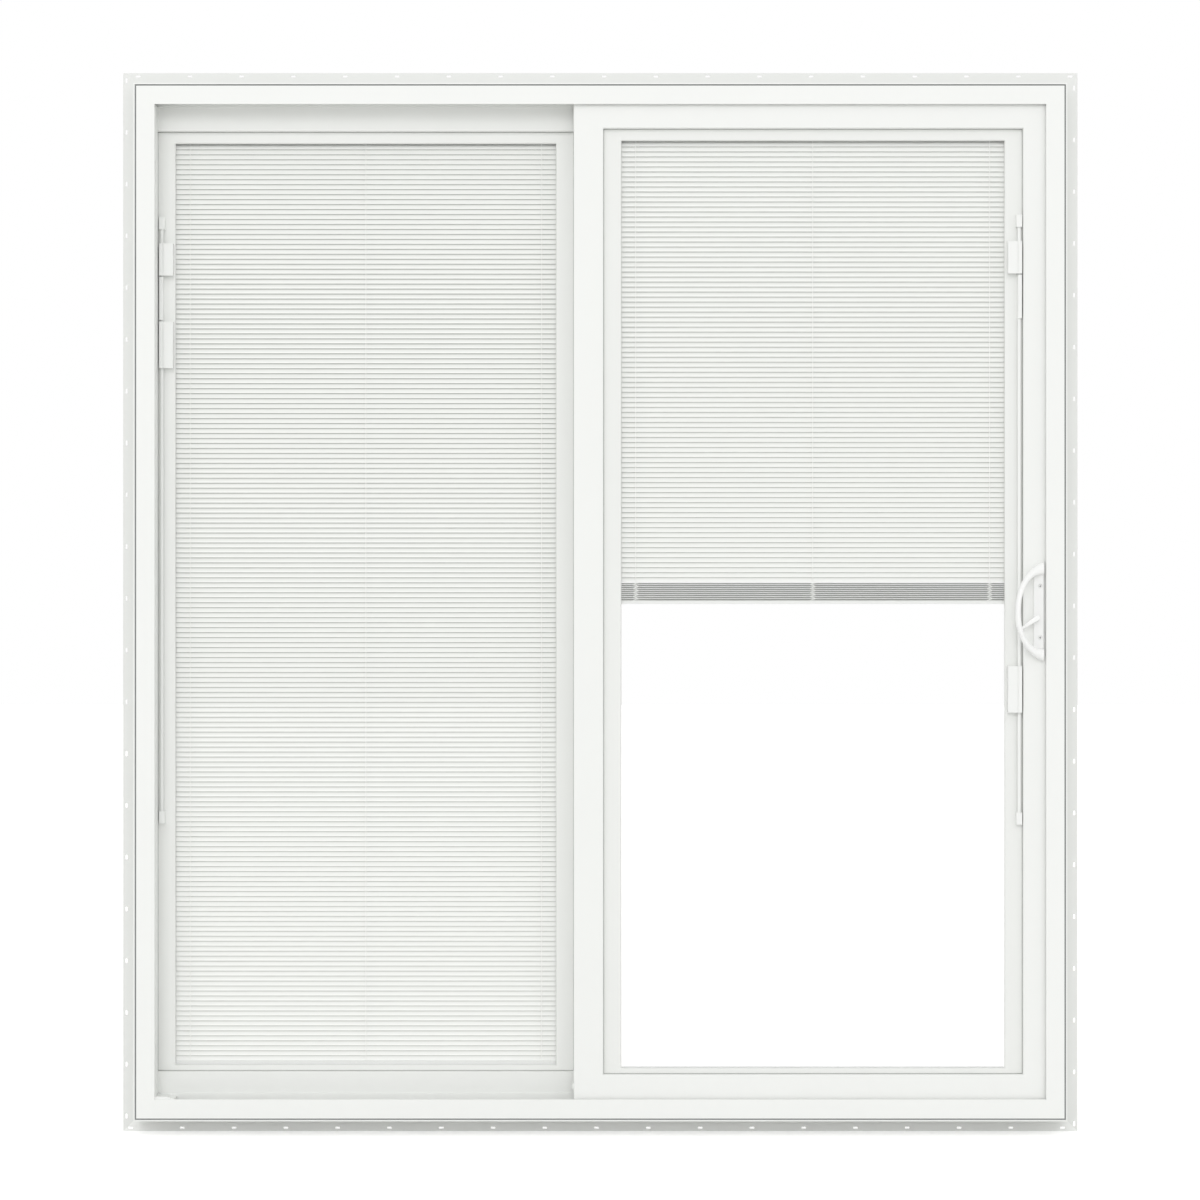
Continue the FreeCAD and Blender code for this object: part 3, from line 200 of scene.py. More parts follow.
def tinted(tree, value, colour, spread):
    """The colour, a little lighter and darker with the value."""
    darker = tuple(c * (1 - spread) for c in colour)
    lighter = tuple(min(1.0, c * (1 + spread)) for c in colour)
    return mixed(tree, value, darker, lighter)


def set_roughness(tree, shader, value, low, high):
    """Roughness from low to high over the middle of a noise."""
    tree.links.new(mapped(tree, value, *NOISE_MIDDLE, low, high), shader.inputs["Roughness"])


def bump(tree, shader, value, strength, height):
    """A bump from the value, linked to the shader."""
    node = add(tree, "ShaderNodeBump", Strength=strength, Distance=height)
    tree.links.new(value, node.inputs["Height"])
    tree.links.new(node.outputs["Normal"], shader.inputs["Normal"])


def extruded_vinyl(name, colour, along):
    """White vinyl with faint die lines along the extrusion and a slightly uneven satin skin."""
    material, tree, shader = new_material(name)
    lines = noise(tree, [DIE_LINE_RUN if axis == along else DIE_LINES for axis in "xyz"], 1.0)
    cloud = noise(tree, EVEN, VINYL_CLOUD)
    tree.links.new(tinted(tree, cloud, colour, CLOUD_SPREAD), shader.inputs["Base Color"])
    set_roughness(tree, shader, lines, *VINYL_ROUGHNESS)
    bump(tree, shader, lines, *VINYL_BUMP)
    shader.inputs["IOR"].default_value = VINYL_IOR
    return material


def moulded(name, colour, low, high, grain=MOULDED_GRAIN, strength=MOULDED_BUMP):
    """Moulded or painted parts with a roughness from low to high and a fine grain."""
    material, tree, shader = new_material(name)
    fine = noise(tree, EVEN, grain)
    cloud = noise(tree, EVEN, MOULDED_CLOUD)
    tree.links.new(tinted(tree, cloud, colour, CLOUD_SPREAD), shader.inputs["Base Color"])
    set_roughness(tree, shader, cloud, low, high)
    bump(tree, shader, fine, strength, GRAIN_HEIGHT)
    return material


def painted_slat(name, colour, overlap_shade=None):
    """Slats with baked paint: streaks along them, and painted shade where the slats overlap and
    shade each other.

    The last argument gives where the painted shade starts and where it is full, in Y, and how much
    of it there is.
    """
    material, tree, shader = new_material(name)
    streaks = noise(tree, PAINT_STREAKS, 1.0)
    paint = tinted(tree, streaks, colour, PAINT_SPREAD)
    # Painted shade: darker towards the part of each slat that other slats cover and shade
    if overlap_shade is not None:
        start, full, share = overlap_shade
        coords = add(tree, "ShaderNodeTexCoord")
        parts = add(tree, "ShaderNodeSeparateXYZ")
        tree.links.new(coords.outputs["Object"], parts.inputs["Vector"])
        shade = mapped(tree, parts.outputs["Y"], start, full, 0.0, share,
                       interpolation_type="SMOOTHSTEP")
        paint = mixed(tree, shade, paint, tuple(c * c * SHADE_DARKNESS for c in colour))
    tree.links.new(paint, shader.inputs["Base Color"])
    set_roughness(tree, shader, streaks, *PAINT_ROUGHNESS)
    bump(tree, shader, streaks, *PAINT_BUMP)
    return material


def clear_glass(name):
    """Float glass that lets lamps through, with the faintest waviness."""
    material, tree, shader = new_material(name)
    shader.inputs["Base Color"].default_value = (1, 1, 1, 1)
    shader.inputs["Roughness"].default_value = 0.0
    shader.inputs["IOR"].default_value = GLASS_IOR
    shader.inputs["Transmission Weight"].default_value = 1.0
    bump(tree, shader, noise(tree, EVEN, GLASS_WAVES, 0.0), *GLASS_BUMP)
    clear = add(tree, "ShaderNodeBsdfTransparent")
    path = add(tree, "ShaderNodeLightPath")
    either = add(tree, "ShaderNodeMath", operation="MAXIMUM")
    tree.links.new(path.outputs["Is Shadow Ray"], either.inputs[0])
    tree.links.new(path.outputs["Is Diffuse Ray"], either.inputs[1])
    mix = add(tree, "ShaderNodeMixShader")
    tree.links.new(either.outputs[0], mix.inputs["Fac"])
    tree.links.new(shader.outputs["BSDF"], mix.inputs[1])
    tree.links.new(clear.outputs["BSDF"], mix.inputs[2])
    tree.links.new(mix.outputs["Shader"], tree.nodes["Material Output"].inputs["Surface"])
    return material


def brushed(name, colour, rough):
    """Brushed or turned steel."""
    material, tree, shader = new_material(name)
    lines = noise(tree, BRUSH_LINES, 1.0)
    tree.links.new(tinted(tree, lines, colour, BRUSH_SPREAD), shader.inputs["Base Color"])
    set_roughness(tree, shader, lines, rough - BRUSH_SPREAD, rough + BRUSH_SPREAD)
    shader.inputs["Metallic"].default_value = 1.0
    bump(tree, shader, lines, *BRUSH_BUMP)
    return material


def middle_of(node):
    """Middle of a node in Y."""
    return sum(corner.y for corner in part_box(node)) / 2


def painted_shade_span(node, shade_span):
    """Start and full place in Y of the slats' painted shade, measured from a node's middle, and its
    share.
    """
    start, full, share = shade_span
    return middle_of(node) + start, middle_of(node) + full, share


# Moulded rows: colour, lowest and highest roughness, grain in waves per metre, strength of its bump
MATERIALS = {
    "frame_level": extruded_vinyl("frame_vinyl_level", VINYL, "x"),
    "frame_upright": extruded_vinyl("frame_vinyl_upright", VINYL, "z"),
    "sash_level": extruded_vinyl("sash_vinyl_level", SASH_VINYL, "x"),
    "sash_upright": extruded_vinyl("sash_vinyl_upright", SASH_VINYL, "z"),
    # The fixed panel's rows carry painted shade in their darker vinyl
    "fixed_level": extruded_vinyl("fixed_vinyl_shaded_level", FIXED_SHADED_VINYL, "x"),
    "fixed_upright": extruded_vinyl("fixed_vinyl_shaded_upright", FIXED_SHADED_VINYL, "z"),
    "fixed_bead_shaded": extruded_vinyl("fixed_bead_shaded_vinyl", FIXED_SHADED_VINYL, "z"),
    "bead": extruded_vinyl("bead_vinyl", BEAD_VINYL, "z"),
    "fin": extruded_vinyl("fin_vinyl", FIN_SHADED_VINYL, "z"),
    "glass": clear_glass("float_glass"),
    "blind": painted_slat("cord_white", BLIND_WHITE),
    "blind_rail": painted_slat("blind_rail_paint", BLIND_RAIL),
    "fixed_slat": painted_slat("fixed_slat_paint_and_shade", BLIND_WHITE,
                               painted_shade_span("fixed_blind_headrail", FIXED_SLAT_SHADE)),
    "sliding_slat": painted_slat("sliding_slat_paint_and_shade", BLIND_WHITE,
                                 painted_shade_span("sliding_blind_headrail", SLIDING_SLAT_SHADE)),
    "gathered_shaded": painted_slat("gathered_slat_shaded_paint", GATHERED_SHADED_WHITE,
                             painted_shade_span("sliding_blind_headrail", GATHERED_SLAT_SHADE)),
    "spacer": moulded("spacer_foam", SPACER_GREY, 0.6, 0.75, 900.0, 0.15),
    "operator": moulded("operator_plastic", OPERATOR_WHITE, 0.28, 0.36),
    "handle": moulded("handle_paint", HANDLE_WHITE, 0.22, 0.30, 700.0, 0.03),
    "plate": moulded("plate_paint", PLATE_WHITE, 0.26, 0.34, 700.0, 0.03),
    "screw_hole_shade": moulded("screw_hole_shade", PAINTED_SHADE_GREY, 0.6, 0.8, 500.0, 0.1),
    "joint_and_shade": moulded("bead_joint_and_shade", JOINT_AND_SHADE_GREY, 0.6, 0.8, 600.0, 0.1),
    "groove_shade": moulded("groove_shade_paint", PAINTED_SHADE_GREY, 0.6, 0.8, 500.0, 0.3),
    "gasket": moulded("gasket_vinyl", GASKET_GREY, 0.5, 0.65, 600.0, 0.2),
    "pile": moulded("pile_fibre", PILE_GREY, 0.85, 0.95, 2600.0, 0.8),
    "steel": brushed("lock_steel", STEEL, 0.35),
    "roller": brushed("roller_steel", STEEL, 0.30),
}

# Blinds, metres: the slats' section and spacing, as the solids have them
SLAT_WIDTH = 0.0125
SLAT_CROWN = 0.0009
SLAT_THICKNESS = 0.00016
SLAT_PITCH = 0.009785
SLAT_TILT = math.radians(55.0)
SLAT_ARC_STEPS = 6
HANGING_SLATS = 88
BUNDLES = 9
BUNDLE_PITCH = 0.0039
BUNDLE_SLATS = 7
BUNDLE_SLAT_PITCH = 0.00031
CORD_SIDES = 6
LADDER_RADIUS = 0.0005
LADDER_SHARES = (0.0, 0.5, 1.0)
RUNG_RADIUS = 0.00035
RUNG_SIDES = 4
RUNG_OFFSET = 0.0016
RUNG_SLOPE = 0.9
ZIGZAG = 0.0050
ZIGZAG_RADIUS = 0.0013
PANE_CLEAR = 0.00005

# Screws, metres: head, cross recess, and their places on the handle's plate, faceplate and keeper
SCREW_RADIUS = 0.0038
SCREW_DOME = 0.0014
SCREW_SEGMENTS = 28
SCREW_RINGS = 14
SCREW_BACK = -0.01
CROSS_LENGTH = 0.0042
CROSS_WIDTH = 0.0013
CROSS_DEPTH = 0.0012
HOLE_MARGIN = 0.00015
SCREW_SPREAD = 0.0501
SCREW_FROM_EDGE = 0.0063
RECESS_DEPTH = 0.0024
LOCK_SCREW_RADIUS = 0.0030
LOCK_SCREW_DOME = 0.0006
LOCK_SCREW_INSET = 0.0065

# The bow, metres: its line and ovals as the solid has them, with more sides and steps. The flare
# is the share of the foot's size at degrees from the bow's middle.
BOW_TOP = 0.0845
BOW_BOTTOM = 0.083
BOW_REACH = 0.0586
BOW_PAST = 0.008
BOW_STAND = 0.04798
BOW_SQUARENESS = 0.92
BOW_GRIP = (0.0100, 0.0120)
BOW_FOOT = (0.0300, 0.0260)
BOW_FLARE = ((0, 0.0), (40, 0.0), (62, 0.2), (76, 0.55), (90, 1.0))
BOW_STEPS = 60
BOW_SIDES = 40

# The thumb lever, metres
LEVER_HUB = 0.005
LEVER_TIP = (-0.0288, -0.0196)
LEVER_SLIM = 0.0021
LEVER_DEPTH = 0.008
LEVER_ROUND = 0.0010
CAPSULE_STEPS = 14
SHARP_ANGLE = math.radians(40.0)

# Gaskets, bead joints with their painted shade, and pile strips, metres. Slant, foot and tip are
# shares of a strip's section.
FLANGE = 0.009
GASKET_WIDTH = 0.0012
GASKET_PROUD = 0.0018
GASKET_SLANT = (0.8, 0.6)
JOINT_WIDTH = 0.0012
JOINT_PROUD = 0.0004
PILE_WIDTH = 0.006
PILE_BASE = 0.0012
PILE_FOOT = 0.28
PILE_TIP = 0.2
PILE_CLEAR = 0.0004
JAMB_FACE = 0.041
HEAD_PILE = 0.0300
SILL_PILE = 0.0325
JAMB_PILE = 0.0355

# Dark strip of painted shade in the groove round the frame's room face, metres
GROOVE_EDGE = 0.0025
GROOVE_WIDTH = 0.003
GROOVE_DEPTH = 0.004
STRIP_THICKNESS = 0.001

# Stop on the meeting stile, metres
BUMPER_PROUD = 0.0035
BUMPER_DEPTH = 0.010
BUMPER_HEIGHT = 0.011
BUMPER_ROUND = 0.0008
BUMPER_LEVEL = 0.0795

LEVEL_NODES = ("frame_head", "frame_sill", "fin_bottom")
FIN_NODES = ("fin_left", "fin_right", "fin_top")


def material_key(node):
    """The finish of a CAD node, by its name."""
    if "glass_panes" in node:
        return "glass"
    if "spacer" in node:
        return "spacer"
    if "blind" in node:
        return "blind_rail"
    if node in ("keeper", "lock_faceplate"):
        return "steel"
    if node == "rollers":
        return "roller"
    if node == "handle_plate":
        return "plate"
    if node.startswith("handle") or node in ("thumb_lever", "outside_pull"):
        return "handle"
    if "operator" in node or "slider" in node:
        return "operator"
    if node.endswith("bead"):
        return "fixed_bead_shaded" if node.startswith("fixed") else "bead"
    if node.startswith(("fixed", "sliding")):
        panel = "fixed" if node.startswith("fixed") else "sash"
        return f"{panel}_level" if "rail" in node else f"{panel}_upright"
    if node in FIN_NODES:
        return "fin"
    return "frame_level" if node in LEVEL_NODES else "frame_upright"


def dress_nodes():
    """Gives every CAD node its finish."""
    for name, obj in NODES.items():
        obj.data.materials.clear()
        obj.data.materials.append(MATERIALS[material_key(name)])


def show_white(tree):
    """1 where the camera, a mirror or glass looks, and 0 for the light that falls on the object."""
    path = add(tree, "ShaderNodeLightPath")
    seen = path.outputs["Is Camera Ray"]
    for name in ("Is Glossy Ray", "Is Transmission Ray"):
        most = add(tree, "ShaderNodeMath", operation="MAXIMUM")
        tree.links.new(seen, most.inputs[0])
        tree.links.new(path.outputs[name], most.inputs[1])
        seen = most.outputs[0]
    return seen


def build_world():
    """Plain white surroundings: full white to look at, and brightest ahead and behind as light."""
    world = bpy.data.worlds.new("studio")
    bpy.context.scene.world = world
    world.use_nodes = True
    tree = world.node_tree
    background = tree.nodes["Background"]
    background.inputs["Color"].default_value = (1, 1, 1, 1)
    coords = add(tree, "ShaderNodeTexCoord")
    parts = add(tree, "ShaderNodeSeparateXYZ")
    tree.links.new(coords.outputs["Generated"], parts.inputs["Vector"])
    ahead = add(tree, "ShaderNodeMath", operation="ABSOLUTE")
    tree.links.new(parts.outputs["Y"], ahead.inputs[0])
    level = mapped(tree, ahead.outputs[0], 0.0, 1.0, WORLD_LEVEL * WORLD_SIDES, WORLD_LEVEL)
    strength = add(tree, "ShaderNodeMapRange")
    strength.inputs["To Max"].default_value = 1.0
    tree.links.new(show_white(tree), strength.inputs["Value"])
    tree.links.new(level, strength.inputs["To Min"])
    tree.links.new(strength.outputs["Result"], background.inputs["Strength"])


def build_floor():
    """A wide pale floor just under the door, white to look at, that keeps a soft shadow."""
    shape = bmesh.new()
    bmesh.ops.create_grid(shape, x_segments=FLOOR_SQUARES, y_segments=FLOOR_SQUARES,
                          size=FLOOR_SIZE)
    bmesh.ops.translate(shape, verts=shape.verts, vec=(0, 0, CAD_BOX[0][2] - FLOOR_GAP))
    mesh = bpy.data.meshes.new("floor")
    shape.to_mesh(mesh)
    shape.free()
    floor = bpy.data.objects.new("floor", mesh)
    bpy.context.scene.collection.objects.link(floor)
    material, tree, shader = new_material("floor_white")
    shader.inputs["Base Color"].default_value = (*FLOOR_WHITE, 1)
    shader.inputs["Roughness"].default_value = FLOOR_ROUGHNESS
    shader.inputs["Emission Color"].default_value = (1, 1, 1, 1)
    glow = mapped(tree, show_white(tree), 0.0, 1.0, 0.0, FLOOR_GLOW)
    tree.links.new(glow, shader.inputs["Emission Strength"])
    mesh.materials.append(material)


def build_camera():
    """The camera at the photograph's place, level, looking along Y."""
    data = bpy.data.cameras.new("camera")
    data.lens = CAMERA_LENS
    data.sensor_width = SENSOR_WIDTH
    data.shift_x, data.shift_y = CAMERA_SHIFT
    camera = bpy.data.objects.new("camera", data)
    camera.location = CAMERA_AT
    camera.rotation_euler = (math.pi / 2, 0, 0)
    bpy.context.scene.collection.objects.link(camera)
    bpy.context.scene.camera = camera


def build_lights():
    """One wide soft lamp far off in front, above and a little to the left."""
    data = bpy.data.lights.new("key", "SUN")
    data.energy = SUN_LEVEL
    data.angle = SUN_SPREAD
    key = bpy.data.objects.new("key", data)
    key.location = SUN_DISTANCE * Vector(SUN_FROM)
    key.rotation_euler = (-Vector(SUN_FROM)).to_track_quat("-Z", "Y").to_euler()
    bpy.context.scene.collection.objects.link(key)


def piece_from(name, shape, material, body):
    """An object from a bmesh, finished, riding on a body, with the given name."""
    mesh = bpy.data.meshes.new(name)
    bmesh.ops.recalc_face_normals(shape, faces=shape.faces)
    shape.to_mesh(mesh)
    shape.free()
    piece = bpy.data.objects.new(name, mesh)
    bpy.context.scene.collection.objects.link(piece)
    mesh.materials.append(MATERIALS[material])
    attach(piece, body)
    return piece


def sweep(shape, section, path):
    """Skins one closed section, a function of a place on the path, along the path, with ends."""
    rings = [[shape.verts.new(corner) for corner in section(place)] for place in path]
    count = len(rings[0])
    for before, after in zip(rings, rings[1:]):
        for index in range(count):
            following = (index + 1) % count
            shape.faces.new((before[index], before[following], after[following], after[index]))
    shape.faces.new(rings[0][::-1])
    shape.faces.new(rings[-1])


def slat_outline(tilt):
    """Section of a slat in Y and Z round its middle: an arc with a thin wall, its room edge low."""
    half = SLAT_WIDTH / 2
    radius = (half * half + SLAT_CROWN * SLAT_CROWN) / (2 * SLAT_CROWN)
    reach = math.asin(half / radius)
    outline = []
    for level in (SLAT_THICKNESS / 2, -SLAT_THICKNESS / 2):
        arc = []
        for step in range(SLAT_ARC_STEPS + 1):
            turn = reach * (2 * step / SLAT_ARC_STEPS - 1)
            along = (radius + level) * math.sin(turn)
            up = (radius + level) * math.cos(turn) - radius + SLAT_CROWN
            arc.append((along, up))
        outline.extend(arc if level > 0 else arc[::-1])
    return [(along * math.cos(tilt) - up * math.sin(tilt),
             along * math.sin(tilt) + up * math.cos(tilt)) for along, up in outline]


def add_slat(shape, outline, left, right, middle, level):
    """One slat from its left to its right end."""
    sweep(shape, lambda x: [(x, middle + y, level + z) for y, z in outline], (left, right))


def add_cord(shape, start, end, radius, sides=CORD_SIDES):
    """A straight round cord between two places."""
    start, end = Vector(start), Vector(end)
    along = (end - start).normalized()
    side = along.orthogonal().normalized()
    other = along.cross(side)
    turns = [2 * math.pi * index / sides for index in range(sides)]
    sweep(shape, lambda place: [place + radius * (side * math.cos(turn) + other * math.sin(turn))
                                for turn in turns], (start, end))


def hanging_slats(name, outline, first, count):
    """The tilted slats of one panel's blind, from the highest down."""
    low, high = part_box(f"{name}_blind_slats")
    middle = middle_of(f"{name}_blind_headrail")
    shape = bmesh.new()
    for index in range(count):
        add_slat(shape, outline, low.x, high.x, middle, first - index * SLAT_PITCH)
    slats = piece_from(f"{name}_slats", shape, f"{name}_slat", BODY_OF[name])
    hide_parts(f"{name}_blind_slats")


def gathered_slats(rail_top):
    """The slats that lie on the raised blind's bottom rail, in bundles."""
    low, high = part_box("sliding_blind_slats")
    middle = middle_of("sliding_blind_headrail")
    flat = slat_outline(0.0)
    shape = bmesh.new()
    for bundle in range(BUNDLES):
        for layer in range(BUNDLE_SLATS):
            level = rail_top + bundle * BUNDLE_PITCH + layer * BUNDLE_SLAT_PITCH + SLAT_THICKNESS
            add_slat(shape, flat, low.x, high.x, middle, level)
    # Painted shade: the bundled slats are grey, and deeper still behind their front edges
    piece_from("sliding_gathered_slats", shape, "gathered_shaded", "sliding_panel")


def add_rung(shape, place, middle, reach, level, offset):
    """A ladder's rung under a slat, from the front cord under the crown to the back cord."""
    crown = (place + offset, middle, level - SLAT_CROWN)
    rise = reach * math.tan(SLAT_TILT) * RUNG_SLOPE
    add_cord(shape, (place, middle - reach, level - rise), crown, RUNG_RADIUS, RUNG_SIDES)
    add_cord(shape, crown, (place, middle + reach, level + rise), RUNG_RADIUS, RUNG_SIDES)


def add_zigzag(shape, place, rail_top):
    """The slack lift cord in front of the gathered slats, from side to side."""
    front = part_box("sliding_glass_spacer")[0].y + PANE_CLEAR + ZIGZAG_RADIUS
    corners = [(place + (ZIGZAG if index % 2 else -ZIGZAG), front, rail_top + index * BUNDLE_PITCH)
               for index in range(BUNDLES + 1)]
    for start, end in zip(corners, corners[1:]):
        add_cord(shape, start, end, ZIGZAG_RADIUS)


def ladders(name, first, count, rail_top):
    """The ladder cords of one blind with their rungs, and the raised blind's slack cords."""
    low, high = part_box(f"{name}_blind_ladders")
    middle = middle_of(f"{name}_blind_headrail")
    reach = high.y - LADDER_RADIUS - middle
    shape = bmesh.new()
    for share in LADDER_SHARES:
        place = low.x + LADDER_RADIUS + share * (high.x - low.x - 2 * LADDER_RADIUS)
        for y in (low.y + LADDER_RADIUS, high.y - LADDER_RADIUS):
            add_cord(shape, (place, y, low.z), (place, y, high.z), LADDER_RADIUS)
        for index in range(count):
            level = first - index * SLAT_PITCH - 2 * SLAT_THICKNESS
            offset = RUNG_OFFSET if index % 2 else -RUNG_OFFSET
            add_rung(shape, place, middle, reach, level, offset)
        if name == "sliding":
            add_zigzag(shape, place, rail_top)
    cords = piece_from(f"{name}_ladders", shape, "blind", BODY_OF[name])
    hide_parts(f"{name}_blind_ladders")


def blind(name):
    """Slats, gathered slats and cords of one panel's blind, in the places of its solids."""
    rail_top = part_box(f"{name}_blind_bottom_rail")[1].z
    outline = slat_outline(SLAT_TILT)
    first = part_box(f"{name}_blind_slats")[1].z - max(z for _, z in outline)
    drop = SLAT_WIDTH / 2 * math.sin(SLAT_TILT)
    count = HANGING_SLATS
    if name == "fixed":
        count = int((first - drop - rail_top) / SLAT_PITCH) + 1
    hanging_slats(name, outline, first, count)
    if name == "sliding":
        gathered_slats(rail_top)
    ladders(name, first, count, rail_top)


def cut_cross(head):
    """Cuts a cross recess into the front of a screw head that lies along Z."""
    shape = bmesh.new()
    for length, width in ((CROSS_LENGTH, CROSS_WIDTH), (CROSS_WIDTH, CROSS_LENGTH)):
        scale = Matrix.Diagonal((length, width, 2 * CROSS_DEPTH, 1))
        place = Matrix.Translation((0, 0, SCREW_DOME))
        bmesh.ops.create_cube(shape, size=1.0, matrix=place @ scale)
    mesh = bpy.data.meshes.new("cross")
    shape.to_mesh(mesh)
    shape.free()
    cutter = bpy.data.objects.new("cross", mesh)
    bpy.context.scene.collection.objects.link(cutter)
    cut = head.modifiers.new("cross", "BOOLEAN")
    cut.operation = "DIFFERENCE"
    cut.object = cutter
    cut.use_self = True
    bpy.context.view_layer.update()
    shown = head.evaluated_get(bpy.context.evaluated_depsgraph_get())
    result = bpy.data.meshes.new_from_object(shown)
    bpy.data.objects.remove(head)
    bpy.data.objects.remove(cutter)
    return result


def screw_head():
    """Mesh of a dome-headed screw with a cross recess, its front towards +Z."""
    shape = bmesh.new()
    bmesh.ops.create_uvsphere(shape, u_segments=SCREW_SEGMENTS, v_segments=SCREW_RINGS, radius=1.0)
    behind = [vertex for vertex in shape.verts if vertex.co.z < SCREW_BACK]
    bmesh.ops.delete(shape, geom=behind, context="VERTS")
    bmesh.ops.holes_fill(shape, edges=[edge for edge in shape.edges if edge.is_boundary])
    size = Matrix.Diagonal((SCREW_RADIUS, SCREW_RADIUS, SCREW_DOME, 1))
    bmesh.ops.transform(shape, matrix=size, verts=shape.verts)
    mesh = bpy.data.meshes.new("screw_head")
    shape.to_mesh(mesh)
    shape.free()
    head = bpy.data.objects.new("screw_head", mesh)
    bpy.context.scene.collection.objects.link(head)
    return cut_cross(head)


def add_screw(name, head, matrix, material, body):
    """A screw from the head's mesh, placed by a matrix, with painted shade in its cross recess."""
    shape = bmesh.new()
    shape.from_mesh(head)
    for face in shape.faces:
        spot = face.calc_center_median()
        out = min(math.hypot(spot.x, spot.y) / SCREW_RADIUS, 1.0)
        dome = SCREW_DOME * math.sqrt(1 - out * out)
        # Painted shade: faces inside the cross recess take the dark grey
        face.material_index = 1 if HOLE_MARGIN < spot.z < dome - HOLE_MARGIN else 0
    bmesh.ops.transform(shape, matrix=matrix, verts=shape.verts)
    screw = piece_from(name, shape, material, body)
    screw.data.materials.append(MATERIALS["screw_hole_shade"])


def screws():
    """Screws in the handle's plate, the lock's faceplate and the keeper."""
    head = screw_head()
    low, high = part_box("handle_plate")
    level = (low.z + high.z) / 2
    turn = Matrix.Rotation(math.pi / 2, 4, "X")
    for index, side in enumerate((-1, 1)):
        place = (high.x - SCREW_FROM_EDGE, low.y + RECESS_DEPTH, level + side * SCREW_SPREAD)
        add_screw(f"handle_screw_{index + 1}", head, Matrix.Translation(place) @ turn, "handle",
                  "sliding_panel")
    width = LOCK_SCREW_RADIUS / SCREW_RADIUS
    size = Matrix.Diagonal((width, width, LOCK_SCREW_DOME / SCREW_DOME, 1))
    for node, body, facing in (("lock_faceplate", "sliding_panel", 1), ("keeper", "frame", -1)):
        low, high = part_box(node)
        turn = Matrix.Rotation(facing * math.pi / 2, 4, "Y")
        across = high.x if facing > 0 else low.x
        for index, edge in enumerate((low.z + LOCK_SCREW_INSET, high.z - LOCK_SCREW_INSET)):
            place = Matrix.Translation((across, (low.y + high.y) / 2, edge))
            add_screw(f"{node}_screw_{index + 1}", head, place @ turn @ size, "steel", body)
    bpy.data.meshes.remove(head)


def rounded_look(piece):
    """Smooth shading, with the flat ends left sharp."""
    piece.data.shade_smooth()
    piece.data.set_sharp_from_angle(angle=SHARP_ANGLE)


def flare_at(degrees):
    """Share of the foot's size at degrees from the bow's middle."""
    for (low, first), (high, last) in zip(BOW_FLARE, BOW_FLARE[1:]):
        if degrees <= high:
            return first + (last - first) * ((degrees - low) / (high - low))
    return BOW_FLARE[-1][1]


def bow_line(turn, right, face, level):
    """Place on the bow's line at a turn in radians up or down from its middle."""
    run_x = BOW_REACH + BOW_PAST - BOW_GRIP[0] / 2
    run_y = BOW_STAND - BOW_GRIP[1] / 2
    rise = BOW_TOP if turn >= 0 else -BOW_BOTTOM
    out = max(math.cos(turn), 0.0) ** BOW_SQUARENESS
    up = abs(math.sin(turn)) ** BOW_SQUARENESS
    return Vector((right + BOW_PAST - run_x * out, face - run_y * out, level + rise * up))


def smooth_bow():
    """The bow handle: smooth ovals, cut flat at the stile's face and at the plate's edge."""
    low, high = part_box("handle_plate")
    right, face = high.x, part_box("handle_bow")[1].y
    level = (low.z + high.z) / 2
    run = Vector((BOW_REACH + BOW_PAST - BOW_GRIP[0] / 2, BOW_STAND - BOW_GRIP[1] / 2, 0))
    run = run.normalized()
    across = Vector((-run.y, run.x, 0))

    # Both ends run on past the cuts, and the flares are smoothed from station to station
    turns = [math.pi * step / BOW_STEPS - math.pi / 2 for step in range(BOW_STEPS + 1)]
    places = [bow_line(turn, right, face, level) for turn in turns]
    places = [places[0] + run * BOW_FOOT[1], *places, places[-1] + run * BOW_FOOT[1]]
    flares = [1.0, *[flare_at(abs(math.degrees(turn))) for turn in turns], 1.0]
    flares = [(before + 2 * here + after) / 4
              for before, here, after in zip([1.0] + flares, flares, flares[1:] + [1.0])]
    end = len(places) - 1

    def oval(index):
        """The oval at a station, square to the line, or to the run at the ends."""
        along = (places[min(index + 1, end)] - places[max(index - 1, 0)]).normalized()
        if index <= 1:
            along = -run
        elif index >= end - 1:
            along = run
        side = along.cross(across).normalized()
        wide, deep = (grip + flares[index] * (foot - grip)
                      for grip, foot in zip(BOW_GRIP, BOW_FOOT))
        corners = [2 * math.pi * corner / BOW_SIDES for corner in range(BOW_SIDES)]
        return [places[index] + side * (wide / 2 * math.cos(corner))
                + across * (deep / 2 * math.sin(corner)) for corner in corners]

    shape = bmesh.new()
    sweep(shape, oval, range(end + 1))
    for place, normal in (((right, 0, 0), (1, 0, 0)), ((0, face, 0), (0, 1, 0))):
        whole = shape.verts[:] + shape.edges[:] + shape.faces[:]
        bmesh.ops.bisect_plane(shape, geom=whole, plane_co=place, plane_no=normal,
                               clear_outer=True)
        bmesh.ops.holes_fill(shape, edges=[edge for edge in shape.edges if edge.is_boundary])
    bow = piece_from("bow_handle", shape, "handle", "sliding_panel")
    rounded_look(bow)
    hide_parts("handle_bow")


def capsule(hub, tip, hub_radius, tip_radius, inset):
    """Outline in X and Z round two circles of different size, drawn in by an inset."""
    along = (tip - hub).normalized()
    up = Vector((-along.y, along.x))
    lean = math.acos((hub_radius - tip_radius) / (tip - hub).length)
    outline = []
    for centre, radius, first, last in ((hub, hub_radius, lean, 2 * math.pi - lean),
                                        (tip, tip_radius, -lean, lean)):
        for step in range(CAPSULE_STEPS + 1):
            turn = first + (last - first) * step / CAPSULE_STEPS
            spoke = along * math.cos(turn) + up * math.sin(turn)
            outline.append(centre + (radius - inset) * spoke)
    return outline


